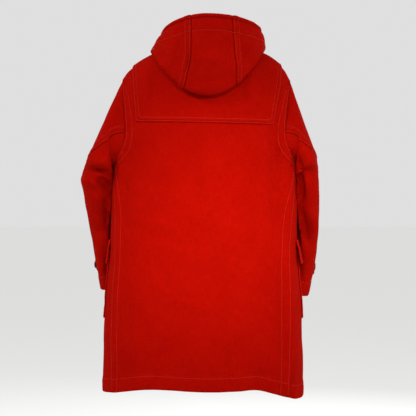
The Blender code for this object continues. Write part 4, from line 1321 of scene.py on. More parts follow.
# Place, angle, half turn, slope, width and depth
SLEEVE_CREASES = {
    Side.LEFT: rows_of(
        SleeveCrease,
        (4.05, 80, 85, -0.46, 0.36, -13),
        (3.50, 90, 75, -0.40, 0.42, 7),
        (4.95, 120, 50, 0.45, 0.36, -7),
        (5.10, 40, 55, 0.10, 0.34, 4),
        (4.40, -100, 70, 0.20, 0.42, -7),
        (7.30, 70, 60, -0.50, 0.50, -4),
    ),
    Side.RIGHT: rows_of(
        SleeveCrease,
        (4.35, 90, 80, -0.05, 0.36, -11),
        (3.80, 95, 75, 0.0, 0.42, 6),
        (5.90, 80, 75, -0.80, 0.42, -6),
        (6.70, 80, 60, -0.60, 0.50, 4),
        (4.60, -100, 70, 0.20, 0.42, -7),
    ),
}
SLEEVE_REST = {
    Side.LEFT: ((-680, 15), (-600, 15), (-530, 10), (-480, 3), (-420, 0.6), (-345, 0.3)),
    Side.RIGHT: ((-680, 20), (-600, 20), (-530, 13), (-480, 4), (-420, 0.6), (-345, 0.3)),
}


@dataclass(frozen=True)
class Forms:
    """The smooth forms that the whole coat lies on."""

    body: BodyForm
    sleeves: dict[Side, SleeveForm]
    hood: HoodForm

    @classmethod
    def made(cls) -> "Forms":
        """The forms with their creases."""
        body = BodyForm(worn=BACK_WEAR + FRONT_WEAR)
        cuffs = {Side.LEFT: LEFT_SLEEVE, Side.RIGHT: RIGHT_SLEEVE}
        tables = (cuffs, SLEEVE_CREASES, SLEEVE_REST, ARM_WEAR)
        sleeves = {side: SleeveForm(body, side, *(table[side] for table in tables)) for side in Side}
        return cls(body, sleeves, HoodForm(body, worn=HOOD_WEAR))


# ---------------- body and yoke


@dataclass(frozen=True)
class BodyPanels:
    """The back and the two fronts, sewn together at the sides, with the sleeves set into them.

    wide, gathered and the fades belong to the band along a side seam and round the armhole, by place.
    """

    forms: Forms
    wide: Shares = ((0.0, 1.8), (4.4, 1.8), (5.9, 1.55), (7.6, 1.55), (8.0, 1.0), (11.0, 1.0))
    gathered: Shares = ((0.0, 0.3), (4.7, 0.35), (5.4, 1.0), (8.0, 1.0), (8.3, 0.0))
    back_fade: Shares = ((0.0, 1.0), (7.9, 1.0), (8.2, 0.0))
    front_fade: Shares = ((0.0, 0.2), (4.8, 0.2), (5.3, 1.0), (7.9, 1.0), (8.2, 0.0))
    gap: float = HALF_GAP / 250  # as an angle at the body's half width

    def _line(self, side: Side, to_back: bool, gap: float, turn: float = 0.0) -> Line:
        """Angle of a piece's edge at the side, a gap from the seam, and a turn back where it comes first."""
        return lambda place: self.forms.body.side_edge(place, side, to_back) - turn + gap

    def _band(self, seed: int) -> Edge:
        """The band on the back, stitched twice. It is widest behind the armhole."""
        shape = (1.4, 0.95, 1.05, 0.8, 1.25, 14.0)
        return Edge((2.6, 14.5), *shape, seed, self.wide, self.back_fade, self.gathered, ((-1, 7.9),))

    def _hem(self, seed: int) -> Edge:
        """The hem, turned up by 36 millimetres and stitched once."""
        return Edge((36.0,), 1.0, 1.1, 1.6, 0.6, 0.5, 34.0, seed)

    def _piece(self, name: str, start: Callable, end: Callable, edges: Edges, tucked: bool = False) -> None:
        """Lays a panel out, tucks it in where it goes under the other front, and hangs it."""
        body = self.forms.body
        panel = Panel(body, start, end, body.neck, edges)
        laid = panel.lay()
        x = body.point(laid.angle, laid.place)[..., 0]
        sunk = -(CLOTH + 0.9) * smooth((x + TUCK) / (TUCK - OVERLAP - 14)) if tucked else 0.0
        hang(name, panel.cloth(laid, sunk), laid, edges)

    def _front(self, side: Side) -> None:
        """One front. The left one laps over the right one, whose edge is tucked in under it."""
        name = f"front_{side.word}"
        shape = (0.9, 0.9, 1.0, 0.5, 0.9, 15.0)
        plain = Edge((2.6, 14.5), *shape, 14, self.wide, self.front_fade, self.gathered, ((5.1, 7.9),))
        closing = Edge((3.0, 12.0), 0.9, 0.9, 1.0, 0.5, 0.3, 30.0, 15 + side.value)
        hem = self._hem(17 + side.value)

        def overlap(place: Array) -> Array:
            """Angle of the closing edge at each place."""
            return self.forms.body.front_edge(place, side, OVERLAP)

        if side is Side.LEFT:
            self._piece(name, overlap, self._line(side, False, -self.gap), Edges(closing, plain, hem))
        else:
            seam = self._line(side, False, self.gap, 2 * np.pi)
            self._piece(name, seam, overlap, Edges(plain, closing, hem), tucked=True)

    def make(self) -> None:
        """The three panels."""
        seams = self._line(Side.LEFT, True, self.gap), self._line(Side.RIGHT, True, -self.gap)
        self._piece("back", *seams, Edges(self._band(11), self._band(12), self._hem(13)))
        for side in Side:
            self._front(side)


@dataclass(frozen=True)
class Yoke:
    """The shoulder yoke: one layer over the back and both fronts, its outer edge stitched down all round.

    sides holds rows of a height and how far the yoke reaches to the left and to the right there.
    """

    forms: Forms
    lay: float = 1.0
    pressed: float = 1.1
    swell: float = 1.3
    back_z: float = -200.0
    front_z: float = -150.0
    slope: float = 0.022
    sides: tuple = ((-200, 193, 184), (-40, 207, 208))
    front_x: float = 64.0
    edge: Edge = Edge((2.6, 11.5), 0.4, 0.95, 1.05, 0.6, 0.4, 16.0, 21)
    front: Edge = Edge((2.6, 11.5), 0.3, 0.9, 1.0, 0.5, 0.3, 16.0, 22)

    def _inside(self, points: Array) -> tuple[Array, Array]:
        """Whether points are above the yoke's lower edge, and whether they are within its side edges."""
        x, y, z = points[..., 0], points[..., 1], points[..., 2]
        lower = np.where(y > 0, self.back_z + self.slope * x, self.front_z)
        heights, left, right = np.array(self.sides).T
        reach = np.where(x > 0, np.interp(z, heights, left), np.interp(z, heights, right))
        return z > lower, np.abs(x) < reach

    def _angle(self, place: Array, share: Array) -> Array:
        """Angle of the columns. They run along the shoulder lines at shares of 0.2 and 0.8."""
        body = self.forms.body
        start = body.front_edge(place, Side.LEFT, -self.front_x)
        end = body.front_edge(place, Side.RIGHT, -self.front_x) + 2 * np.pi
        front_left, back = start * (1 - share / 0.2), np.pi * (share - 0.2) / 0.6
        front_right = np.pi + (end - np.pi) * (share - 0.8) / 0.2
        return np.where(share < 0.2, front_left, np.where(share > 0.8, front_right, back))

    def _outer(self, share: Array) -> tuple[Array, Array]:
        """Place of the outer edge at each share of the way round, and whether it is a side edge there."""
        places = np.linspace(6.0, self.forms.body.neck, 1201)
        angle = self._angle(places, share[:, None])
        above, within = self._inside(self.forms.body.point(angle, places + 0 * angle))
        both = above & within
        last = both.shape[1] - 1 - np.argmin(both[:, ::-1], axis=1)
        return places[np.minimum(last + 1, len(places) - 1)], above[np.arange(len(share)), last]

    def _columns(self) -> tuple[Array, Array, Array]:
        """Columns at even steps along the outer edge, with one at each of its corners.

        Returns:
            Their shares of the way round, their places at the edge, and the edge's points.
        """
        fine = np.linspace(0, 1, 1201)
        low, at_side = self._outer(fine)
        outline = self.forms.body.point(self._angle(low, fine), low)
        run = run_length(outline[None], 1)[0]
        corners = run[1:][at_side[1:] != at_side[:-1]]
        stops = self.front.stops()
        marks = np.concatenate([[stops[-1]], corners, [run[-1] - stops[-1]]])
        steps = [even_steps(a, b, 6.5) for a, b in zip(marks, marks[1:])]
        at = np.sort(np.concatenate([stops, *steps, corners, run[-1] - stops]))
        return np.interp(at, run, fine), np.interp(at, run, low), outline

    def _lay(self) -> Laid:
        """Rows at stated distances from the outer edge, measured to its nearest point, then even ones."""
        body = self.forms.body
        share, low, outline = self._columns()
        climb = np.linspace(0, 1, 260)[:, None] ** 1.5
        place = low + (body.neck - low) * climb
        points = body.point(self._angle(place, share), place)
        walked = run_length(points, 0)
        away, near = walked.copy(), 150  # further in than these rows, distances are walked along the column
        for number in range(len(share)):
            steps = points[:near, number, None] - outline[None]
            away[:near, number] = np.linalg.norm(steps, axis=-1).min(axis=1)
        away[near:] = away[near - 1] + walked[near:] - walked[near - 1]
        away = np.maximum.accumulate(away, axis=0)
        away -= away[0]
        foot, total = self.edge.stops(), away[-1]
        inner = foot[-1] + (total - foot[-1]) * np.linspace(0, 1, 34)[1:, None]
        rows = np.vstack([foot[:, None] + 0 * total, inner])
        place = look_up(rows.T, away.T + 1e-6 * np.arange(len(climb)), place.T).T
        angle = self._angle(place, share)
        across = run_length(body.point(angle, place), 1)
        return Laid(angle, place, across, across[:, -1:] - across, rows, total - rows)

    def make(self) -> None:
        """The yoke, pressed thin at its outer edge and swelling a little inside it."""
        body, laid = self.forms.body, self._lay()
        edges = Edges(self.front, self.front, self.edge)
        thick = CLOTH - self.pressed * (1 - smooth(laid.from_foot / 7.0))
        swell = self.swell * smooth((laid.from_foot - 11) / 40) * smooth(laid.from_top / 30)
        cloth = dressed(body, laid, edges, self.lay + thick + swell, thick)
        points = body.point(laid.angle, laid.place)
        over = 118.0 * np.arctan2(points[..., 2] + 165.0, points[..., 1])  # from back to front
        cloth.uv = np.stack([points[..., 0], over], axis=-1) * MM
        hang("yoke", cloth, laid, edges)


# ---------------- sleeves and hood


@dataclass(frozen=True)
class Sleeves:
    """The two pieces of each sleeve: the upper one laps over the under one at the seam behind the arm.

    stops are places along the sleeve, and behind and before the two seams' turns round it there, in degrees.
    """

    forms: Forms
    stops: tuple = (0, 1, 2, 3, 4, 5.5, 10)
    behind: tuple = (97, 95, 85, 60, 12, -8, -24)
    before: tuple = (-112.5, -116, -120, -126, -132, -138, -148)
    gap: float = HALF_GAP / 60  # as an angle at the sleeve's half width
    pitch: tuple[float, float] = (5.0, 4.6)

    def _turn(self, seam: tuple, gap: float, more: float = 0.0) -> Line:
        """A seam's turn round the sleeve at each place along it, and a gap beside it."""
        return lambda place: np.radians(np.interp(place, self.stops, seam) + more) + gap

    def make(self) -> None:
        """Both pieces of both sleeves."""
        for side in Side:
            form = self.forms.sleeves[side]
            seed = 30 + side.value
            head = Edge((), -1.7, 0.0, 1.0, 0.0, 0.7, 15.0, seed)
            cuff = Edge((40.0,), 0.9, 1.0, 1.4, 0.5, 0.35, 24.0, seed + 4)
            lapped = Edge((2.6, 17.0), 1.5, 0.95, 1.1, 0.8, 0.55, 15.0, seed + 8)
            plain = Edge((), -1.1, 0.0, 1.0, 0.0, 0.2, 15.0, seed + 12)
            armpit = Edge((), 0.9, 0.0, 1.0, 0.0, 0.2, 15.0, seed + 16)
            before, behind = self._turn(self.before, self.gap), self._turn(self.behind, -self.gap)
            after, around = self._turn(self.behind, self.gap), self._turn(self.before, -self.gap, 360.0)
            for word, start, end, edges in (
                ("upper", before, behind, Edges(plain, lapped, head, cuff)),
                ("under", after, around, Edges(plain, plain, armpit, cuff)),
            ):
                panel = Panel(form, start, end, form.wrist, edges, self.pitch)
                laid = panel.lay()
                hang(f"sleeve_{side.word}_{word}", panel.cloth(laid), laid, edges)


@dataclass(frozen=True)
class Hood:
    """The hood's three panels: the side ones lap over the centre one, and the rim is turned in and stitched.

    left and right are the seams' angles from each side, at stops, and end is the hood's front end. All are
    in degrees.
    """

    forms: Forms
    stops: tuple = (0, 5.5, 7.5, 9)
    left: tuple = (66, 67, 74, 71)
    right: tuple = (64, 62, 64, 64)
    end: float = -89.2
    rim: int = 9
    gap: float = HALF_GAP / 140  # as an angle at the hood's half width

    def _seam(self, seam: tuple, side: Side, gap: float) -> Line:
        """A seam's angle at each place along the hood, counted from the side, and a gap beside it."""
        if side is Side.LEFT:
            return lambda place: np.radians(np.interp(place, self.stops, seam)) + gap
        return lambda place: np.pi - np.radians(np.interp(place, self.stops, seam)) + gap

    def _panel(self, name: str, start: Line, end: Line, sides: tuple) -> None:
        """Lays out, sews and drapes one panel, between the neck seam and the rim."""
        foot = Edge((), -0.5, 0.0, 1.0, 0.0, 0.5, 18.0, 52)
        rim = Edge((9.0, 45.0), 0.9, 1.5, 1.6, 0.7, 0.45, 26.0, 51, blind=(9.0,), band=3.4)
        edges = Edges(*sides, foot, rim)
        panel = Panel(self.forms.hood, start, end, self.rim, edges)
        laid = panel.lay()
        hang(name, panel.cloth(laid, upright=True), laid, edges)

    def make(self) -> None:
        """The three panels, from left to right."""
        lap_left = Edge((2.6, 15.5), 1.8, 1.0, 1.15, 0.9, 1.3, 12.0, 53)
        lap_right = Edge((2.6, 15.5), 1.6, 0.95, 1.1, 0.7, 0.45, 16.0, 54)
        edge = Edge((3.0,), 0.3, 0.8, 1.0, 0.25, 0.2, 20.0, 55)
        under = Edge((), -1.5, 0.0, 1.0, 0.0, 0.3, 20.0, 56)
        ends = (self.end,) * len(self.stops)
        start, end = self._seam(ends, Side.LEFT, 0.0), self._seam(self.left, Side.LEFT, -self.gap)
        self._panel("hood_left", start, end, (edge, lap_left))
        start, end = self._seam(self.left, Side.LEFT, self.gap), self._seam(self.right, Side.RIGHT, -self.gap)
        self._panel("hood_centre", start, end, (under, under))
        start, end = self._seam(self.right, Side.RIGHT, self.gap), self._seam(ends, Side.RIGHT, 0.0)
        self._panel("hood_right", start, end, (lap_right, edge))


# ---------------- pockets and cuff straps


@dataclass(frozen=True)
class Pocket:
    """A patch pocket at one side, sewn down on three sides, under a flap sewn down along its top.

    back and flap_back are the angles behind the side at which they start, puff is how far the pocket swells
    and flare how far the flap's foot stands off.
    """

    forms: Forms
    side: Side
    back: float
    flap_back: float
    puff: float
    flare: float
    lay: float = 0.9

    def _grid(self, start: float, across: Array, z: Array) -> tuple[Array, Array]:
        """Angles and places at distances across, from an edge behind the side to the front, and heights."""
        body = self.forms.body
        place = body.place_at(z)[:, None]
        angle = np.linspace(np.radians(start), np.radians(start - 110), 321) + 0 * place
        angle = angle if self.side is Side.LEFT else np.pi - angle
        run = run_length(body.point(angle, place + 0 * angle), 1)
        angle = look_up(np.tile(across, (len(z), 1)), run, angle)
        return angle, place + 0 * angle

    def _piece(
        self,
        name: str,
        start: float,
        size: tuple[float, float, float],
        edges: Edges,
        lift: Callable,
        rests_on: list[str],
    ) -> None:
        """Lays out one piece of the pocket, over the front, and sews it.

        Args:
            name: the piece's node.
            start: angle behind the side at which it starts.
            size: width, and the heights of its foot and top.
            edges: its sewn edges.
            lift: gives the height of its inner face, from shares up and across.
            rests_on: what it lies on. It is not used.
        """
        width, foot_z, top_z = size
        height = top_z - foot_z
        across = even_stops(width, edges.first.stops(), edges.last.stops(), 5.5)
        up = even_stops(height, edges.foot.stops(), edges.top.stops(), 5.5)
        angle, place = self._grid(start, across, foot_z + height * up / up[-1])
        across, up = across + 0 * angle, up[:, None] + 0 * angle
        laid = Laid(angle, place, across, width - across, up, height - up)
        cloth = dressed(self.forms.body, laid, edges, lift(up / height, across / width) + CLOTH)
        hang(name, cloth, laid, edges)

    def _swollen(self, up: Array, across: Array) -> Array:
        """The pocket's lift: lying close at its foot and sides, and swelling inside them."""
        return self.lay + self.puff * smooth(up * 1.6) * smooth(across * 5) * smooth((1 - across) * 5)

    def _hanging(self, up: Array, across: Array) -> Array:
        """The flap's lift: down against the front along its top, and off the pocket at its foot."""
        over = self.lay + self.puff + CLOTH + 0.7
        down = 1 - up
        ends = smooth((1 - across) * 1.6) * 0.5 + 0.5
        flare = self.flare * np.maximum(down - 0.3, 0) / 0.7 * ends
        return self.lay + (over - self.lay) * smooth(down / 0.42) + flare

    def make(self) -> None:
        """The pocket and its flap."""
        pocket, flap, front = (f"{word}_{self.side.word}" for word in ("pocket", "flap", "front"))
        sewn = Edge((2.6, 9.0), 0.2, 0.9, 1.0, 0.45, 0.35, 18.0, 61)
        mouth = Edge((25.0,), 0.8, 0.9, 1.2, 0.4, 0.25, 30.0, 62)
        hemmed = Edge((3.0, 9.5), 0.6, 0.9, 1.0, 0.45, 0.3, 20.0, 63)
        held = Edge((2.6, 9.0), 0.5, 0.9, 1.0, 0.45, 0.3, 16.0, 64)
        edges = Edges(sewn, sewn, sewn, mouth)
        self._piece(pocket, self.back, (180.0, -737.0, -550.0), edges, self._swollen, [front])
        edges = Edges(hemmed, hemmed, hemmed, held)
        self._piece(flap, self.flap_back, (192.0, -586.0, -520.0), edges, self._hanging, [pocket, front])


def even_stops(length: float, first: Array, last: Array, pitch: float) -> Array:
    """Distances along a piece: those of its first edge, even steps, and those of its last edge."""
    low, high = first[-1], length - last[-1]
    return np.concatenate([first, even_steps(low, high, pitch), length - last[::-1]])


@dataclass(frozen=True)
class CuffStrap:
    """A strap round the front of a cuff, held at its rounded end by a horn button sewn on with a cross.

    start, end and button_turn are turns round the sleeve, in degrees. profile is the button's, as pairs of a
    height and a radius, from the middle of its underside to the middle of its dished top.
    """

    forms: Forms
    side: Side
    button_turn: float
    place: float = 9.0
    height: float = 32.0
    start: float = -139.0
    end: float = -1.0
    lay: float = 1.6
    thread_half: float = 2.4
    profile: tuple = (
        (0.0, 0.0), (0.0, 7.4), (0.4, 8.5), (1.2, 9.3), (2.5, 9.3), (3.5, 8.9), (3.9, 8.1), (3.8, 7.2),
        (3.3, 6.2), (3.1, 5.4), (3.0, 3.0), (3.0, 0.0),
    )

    def make(self) -> None:
        """The strap, its stitching, the button and the thread through it."""
        form, word = self.forms.sleeves[self.side], self.side.word
        plain = Edge((), 0.0, 0.0)
        hemmed = Edge((3.4,), 0.6, 0.85, 1.0, 0.35, 0.25, 15.0, 71)
        turns = np.radians(np.linspace(self.start, self.end, 241))
        run = run_length(form.point(turns, 0 * turns + self.place)[None], 1)[0]
        across = even_stops(run[-1], hemmed.stops(), np.linspace(0, 18, 13), 5.0)
        up = even_stops(self.height, hemmed.stops(), hemmed.stops(), 4.0)
        left = np.clip((run[-1] - across) / 16.0, 0, 1)
        taper = 0.42 + 0.58 * np.sqrt(1 - (1 - left) ** 2)
        turn = np.interp(across, run, turns) + 0 * up[:, None]
        place = self.place - (up - self.height / 2)[:, None] * taper / 62.0
        beside = across + 0 * turn, run[-1] - across + 0 * turn
        above = up[:, None] * taper, (self.height - up)[:, None] * taper
        laid, edges = Laid(turn, place, *beside, *above), Edges(plain, plain, hemmed, hemmed)
        cloth = dressed(form, laid, edges, self.lay + CLOTH)
        hang(f"cuff_strap_{word}", cloth, laid, edges)
        self._button(form, word)

    def _button(self, form: SleeveForm, word: str) -> None:
        """A turned disc with a raised rim and a dished middle, and thread crossed over it."""
        turn = np.array([np.radians(self.button_turn)])
        (centre,), (outwards,) = form.worn_at(turn, np.array([self.place]), self.lay + CLOTH + 1.0)
        across = unit(np.cross(outwards, (0.0, 0.0, 1.0)))
        disc = lathe(np.array(self.profile), 28, centre, outwards, across)
        made = mesh_object(f"cuff_button_{word}_horn", *disc, sharp=60.0)
        put_on(made, HORN, Slot.HORN, f"cuff_button_{word}")
        up = np.cross(outwards, across)
        thread = Stitching(length=4.6, radius=0.62)
        for way in (1, -1):
            ends = np.array([-self.thread_half, self.thread_half])[:, None] * (across + way * up) / np.sqrt(2)
            thread.add(centre + outwards * 3.25 + ends, np.tile(outwards, (2, 1)))
        put_on(thread.build(f"cuff_button_{word}_thread"), THREAD, Slot.WOOL)


def lathe(profile: Array, sides: int, centre: Array, axis: Array, across: Array) -> tuple[Array, Array]:
    """A turned piece: its profile of (distance along the axis, radius) pairs, carried round the axis.

    Args:
        profile: the pairs, the first and last on the axis.
        sides: points round it.
        centre: where distance 0 is.
        axis: its direction.
        across: a direction square to the axis.

    Returns:
        Points and faces.
    """
    turn = np.linspace(0, 2 * np.pi, sides, endpoint=False)
    round_it = np.cos(turn)[:, None] * across + np.sin(turn)[:, None] * np.cross(axis, across)
    points = centre + profile[:, :1, None] * axis + profile[:, 1:, None] * round_it
    return points.reshape(-1, 3), grid_faces(len(profile), sides, ring=True)


# ---------------- toggles


@dataclass(frozen=True)
class Braid:
    """A round braided leather cord: strands wind both ways round its route, each sinking under the others.

    strand is half a strand's width, lay the length of one turn, and step the distance between rings.
    """

    strands: int = 6
    radius: float = 2.1
    strand: float = 0.86
    lay: float = 17.0
    step: float = 1.5

    def build(self, name: str, route: Array, level: Array) -> Object:
        """The cord's mesh: a round core and its strands.

        Args:
            name: the piece's name.
            route: points along the cord's middle.
            level: a direction that the cord never runs along, for its frame.

        Returns:
            The object. A strand's distance from the middle swings to and fro as it goes over and under.
        """
        run = run_length(route[None], 1)[0]
        at = np.linspace(0, run[-1], max(int(run[-1] / self.step), 8))
        spine = read_along(at, run, route)
        ahead = unit(np.gradient(spine, axis=0))
        side = unit(np.cross(ahead, level))
        up = np.cross(side, ahead)
        parts = [tube(spine, side, up, np.full(len(at), self.radius * 0.72), 8)]
        for number in range(self.strands):
            way = 1 if number % 2 else -1
            share = number // 2 / (self.strands // 2)
            turn = way * 2 * np.pi * at / self.lay + 2 * np.pi * share + (0.3 if way > 0 else 0)
            swing = 0.22 * way * np.cos(self.strands * np.pi * at / self.lay * 2 + number)
            reach = self.radius - self.strand * 0.55 + swing
            out = np.cos(turn)[:, None] * side + np.sin(turn)[:, None] * up
            around = np.cross(ahead, out)
            ring = around * 1.25, out * 0.8
            parts.append(tube(spine + out * reach[:, None], *ring, np.full(len(at), self.strand), 6))
        points, faces = zip(*parts)
        starts = np.cumsum([0, *(len(part) for part in points[:-1])])
        faces = [part + start for part, start in zip(faces, starts)]
        return mesh_object(name, np.concatenate(points), np.concatenate(faces), sharp=180.0)


def tube(spine: Array, side: Array, up: Array, radius: Array, sides: int) -> tuple[Array, Array]:
    """A tube round a line of points, closed at its ends by points on the line."""
    turn = np.linspace(0, 2 * np.pi, sides, endpoint=False)
    radius = np.r_[0.0, radius, 0.0]
    spine, side, up = (np.concatenate([a[:1], a, a[-1:]]) for a in (spine, side, up))
    ring = np.cos(turn)[None, :, None] * side[:, None] + np.sin(turn)[None, :, None] * up[:, None]
    points = spine[:, None] + ring * radius[:, None, None]
    return points.reshape(-1, 3), grid_faces(len(spine), sides, ring=True)


@dataclass(frozen=True)
class Fastening:
    """One toggle on its cord, the loop that it is put through, and a leather patch over the ends of each.

    half_toggle is half of the toggle's profile, as pairs of a height and a radius. held is the toggle's cord
    and half_loop the upper half of the loop, in rows of x towards the left, a height and a distance off the
    cloth. patch holds the distances of a patch's inner and outer sides from the middle.
    """

    forms: Forms
    number: int
    z: float
    toggle_x: float = -16.0
    toggle_lift: float = 12.6
    half_toggle: tuple = (
        (3.0, 3.3), (5.2, 3.6), (6.6, 5.2), (8.4, 6.7), (11.0, 7.2), (15.0, 7.1), (19.0, 6.6),
        (23.0, 5.6), (26.5, 4.4), (28.4, 2.8), (29.2, 1.5), (29.4, 0.0),
    )
    waist: float = 3.25
    held: tuple = (
        (-92, 2.4, 2.8), (-60, 2.4, 2.8), (-31, 2.4, 2.8), (-25, 2.4, 3.7), (-20, 2.3, 6.2),
        (-16, 2.0, 6.8), (-11.9, 1.4, 8.5), (-10.2, 0.5, 12.6), (-11.9, -0.5, 16.7), (-16, -1.3, 18.4),
        (-20.1, -2.0, 16.7), (-21.9, -2.3, 12.6), (-22.6, -2.4, 8.0), (-26, -2.4, 4.4), (-32, -2.4, 2.8),
        (-60, -2.4, 2.8), (-92, -2.4, 2.8),
    )
    half_loop: tuple = (
        (92, 7, 2.8), (55, 7, 2.8), (15, 7, 2.8), (-18, 7, 2.8), (-27, 7, 4.6), (-33, 6.2, 6.9),
        (-37.2, 4, 7.5),
    )
    loop_end: tuple = (-39, 0, 7.6)
    patch: tuple[float, float] = (78.0, 119.0)
    cords_end: float = 98.0
    half_height: float = 19.0
    thick: float = 1.8
    sewn: float = 3.0
    rim: tuple = (0, 0.5, 1.2, 2.4, 3.0, 3.6, 5.0)

    def _on_front(self, x: Array, z: Array, lift: Array) -> tuple[Array, Array]:
        """Points above the worn front, x towards the left and about at height z, and the directions there."""
        body = self.forms.body
        x, place, lift = matched(x, body.place_at(z, FRONT_Z), lift)
        angle = np.where(x > 0, body.front_edge(place, Side.LEFT, -x), body.front_edge(place, Side.RIGHT, x))
        return body.worn_at(angle, place, lift)

    def _cord(self, name: str, table: tuple) -> None:
        """A cord laid along its route, made smooth by the curve through the route's points."""
        count = len(table)
        x, up, lift = np.moveaxis(through(table, np.linspace(0, count - 1, 12 * count)), -1, 0)
        route, _ = self._on_front(x, self.z + up, lift)
        braid = Braid().build(f"{name}_braid", route, np.array((0.02, 0.11, 0.99)))
        put_on(braid, LEATHER, Slot.LEATHER, name)

    def _patch(self, name: str, side: Side, legs: float) -> None:
        """A leather patch with rounded corners, raised over the cord's ends and stitched round its edge."""
        inner, outer = self.patch
        rim = np.array(self.rim)
        across = even_stops(outer - inner, rim, rim, 2.2)
        up = even_stops(2 * self.half_height, rim, rim, 1.8)
        u, v = np.meshgrid(across / across[-1] * 2 - 1, up / up[-1] * 2 - 1)
        corner = 0.055 * np.abs(u * v) ** 6
        half = (outer - inner) / 2
        x = inner + half + half * u * (1 - corner)
        rise = self.half_height * v * (1 - corner)
        over_legs = smooth((legs + Braid.radius + 3.4 - np.abs(rise)) / 2.6)
        lift = 0.7 + 4.7 * (over_legs * smooth((self.cords_end - x) / 8.0))
        points, normals = self._on_front(side.value * x, self.z + rise, lift + self.thick)
        from_side, from_end = np.minimum(across, across[-1] - across), np.minimum(up, up[-1] - up)
        inset = np.minimum(from_side[None], from_end[:, None])
        relief = -0.45 * bell((inset - self.sewn) / 0.8) - 0.4 * (1 - smooth(inset / 1.2))
        piece = Cloth(points + normals * relief[..., None], points - normals * self.thick, normals)
        put_on(piece.build(f"{name}_leather"), LEATHER, Slot.LEATHER, name)
        stitching = Stitching(pitch=3.4, length=2.5, radius=0.42)
        k, m = (int(np.argmin(np.abs(stops - self.sewn))) for stops in (across, up))
        for where in (np.s_[m, k:-k], np.s_[-m - 1, k:-k], np.s_[m:-m, k], np.s_[m:-m, -k - 1]):
            stitching.add(piece.points[where], normals[where])
        put_on(stitching.build(f"{name}_stitches"), WAXED, Slot.LEATHER)

    def make(self) -> None:
        """The toggle, both cords and both patches."""
        number = self.number
        (centre,), _ = self._on_front([self.toggle_x], [self.z], [self.toggle_lift])
        below = [(-height, radius) for height, radius in reversed(self.half_toggle)]
        profile = np.array([*below, (0.0, self.waist), *self.half_toggle])
        body = lathe(profile, 22, centre, np.array((0.0, 0.0, 1.0)), np.array((1.0, 0.0, 0.0)))
        put_on(mesh_object(f"toggle_{number}_horn", *body), HORN, Slot.HORN, f"toggle_{number}")
        self._cord(f"toggle_cord_{number}", self.held)
        back = [(x, -up, lift) for x, up, lift in reversed(self.half_loop)]
        self._cord(f"loop_{number}", (*self.half_loop, self.loop_end, *back))
        self._patch(f"toggle_patch_{number}", Side.RIGHT, self.held[0][1])
        self._patch(f"loop_patch_{number}", Side.LEFT, self.half_loop[0][1])


# ---------------- studio


@dataclass(frozen=True)
class Lamp:
    """A lamp: where it stands and points, its width and its power. spread is a spot's angle in degrees."""

    name: str
    place: tuple[float, float, float]
    target: tuple[float, float, float]
    width: float
    power: float
    spread: float = 0.0

    def make(self) -> Object:
        """A soft-edged spot where it has a spread, and otherwise a round soft box."""
        lamp = bpy.data.lights.new(self.name, "SPOT" if self.spread else "AREA")
        lamp.energy = self.power
        if self.spread:
            lamp.spot_size, lamp.spot_blend = np.radians(self.spread), 1.0
            lamp.shadow_soft_size = self.width / 2
        else:
            lamp.shape, lamp.size = "DISK", self.width
        return stand_at(bpy.data.objects.new(self.name, lamp), self.place, self.target)


def stand_at(item: Object, place: Sequence[float], target: Sequence[float]) -> Object:
    """Links an object at a place, turned so that its -Z looks at a target and its +Y is up."""
    place = np.array(place, float)
    back = unit(place - np.array(target, float))
    right = unit(np.cross((0.0, 0.0, 1.0), back))
    turn = np.eye(4)
    turn[:3, 0], turn[:3, 1], turn[:3, 2], turn[:3, 3] = right, np.cross(back, right), back, place
    bpy.context.scene.collection.objects.link(item)
    item.matrix_world = turn.T.tolist()  # given column by column
    return item


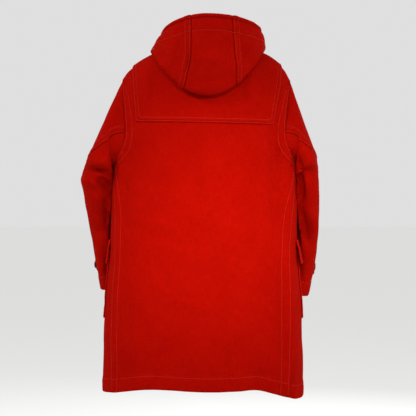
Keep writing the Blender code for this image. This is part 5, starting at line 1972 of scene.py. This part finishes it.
@dataclass(frozen=True)
class Studio:
    """A pale floor far below the coat, a white room and soft lamps, with the camera straight behind."""

    camera: tuple[float, float, float] = (-0.0028, 3.2, -0.431)
    sensor: float = 36.0
    view: float = 1.165  # metres across at the coat, 3.2 metres from the camera
    floor_z: float = -1.5
    floor_half: float = 60.0
    room: float = 0.74
    lamps: tuple[Lamp, ...] = rows_of(
        Lamp,
        ("key", (-0.5, 3.0, 1.1), (-0.03, 0.1, -0.49), 0.35, 600.0, 13.9),
        ("side_left", (1.9, 1.4, 1.6), (0.1, 0.0, -0.25), 0.8, 50.0),
        ("side_right", (-2.5, 1.0, 0.6), (-0.1, 0.0, -0.4), 0.8, 34.0),
        ("front_key", (0.5, -3.3, 0.35), (0.0, -0.1, -0.42), 0.5, 380.0, 22.0),
        ("front_fill", (-0.9, -3.0, 0.5), (0.0, 0.0, -0.42), 1.2, 20.0),
    )

    def _floor(self) -> None:
        """A matt white floor that reaches far past the view."""
        size = self.floor_half / MM
        corners = np.array([(-size, -size), (size, -size), (size, size), (-size, size)])
        floor = mesh_object("floor", np.c_[corners, np.full(4, self.floor_z / MM)], np.array([[0, 1, 2, 3]]))
        white = bpy.data.materials.new("floor_paint")
        white.use_nodes = True
        shader = first_of(white.node_tree, "BSDF_PRINCIPLED")
        paint = linear("#FCFCFB")
        set_inputs(white.node_tree, shader, Base_Color=paint, Roughness=1.0, Specular_IOR_Level=0.0)
        floor.data.materials.append(white)

    def make(self) -> None:
        """The floor, the room's light, the lamps and the camera."""
        scene = bpy.context.scene
        self._floor()
        world = bpy.data.worlds.new("room")
        world.use_nodes = True
        back = first_of(world.node_tree, "BACKGROUND")
        set_inputs(world.node_tree, back, Color=(1.0, 1.0, 1.0, 1.0), Strength=self.room)
        scene.world = world
        for lamp in self.lamps:
            lamp.make()
        x, y, z = self.camera
        eye = bpy.data.cameras.new("camera")
        eye.lens, eye.sensor_width = self.sensor * y / self.view, self.sensor
        scene.camera = stand_at(bpy.data.objects.new("camera", eye), self.camera, (x, y - 1.0, z))
        scene.view_settings.view_transform = "Standard"


# ---------------- the coat


def dress_coat() -> None:
    """Makes every piece of the coat on its forms."""
    forms = Forms.made()
    BodyPanels(forms).make()
    Yoke(forms).make()
    Sleeves(forms).make()
    Hood(forms).make()
    Pocket(forms, Side.LEFT, 5, 10, 1.2, 1.4).make()
    Pocket(forms, Side.RIGHT, 7, 15, 2.8, 5.0).make()
    CuffStrap(forms, Side.LEFT, -12.0).make()
    CuffStrap(forms, Side.RIGHT, -24.0).make()
    for number, z in enumerate((-214.0, -344.0, -474.0, -604.0), start=1):
        Fastening(forms, number, z).make()


def main() -> None:
    """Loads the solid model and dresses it."""
    logging.basicConfig(level=logging.INFO, format="%(name)s %(message)s")
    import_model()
    dress_coat()
    Studio().make()


if __name__ == "__main__":
    main()
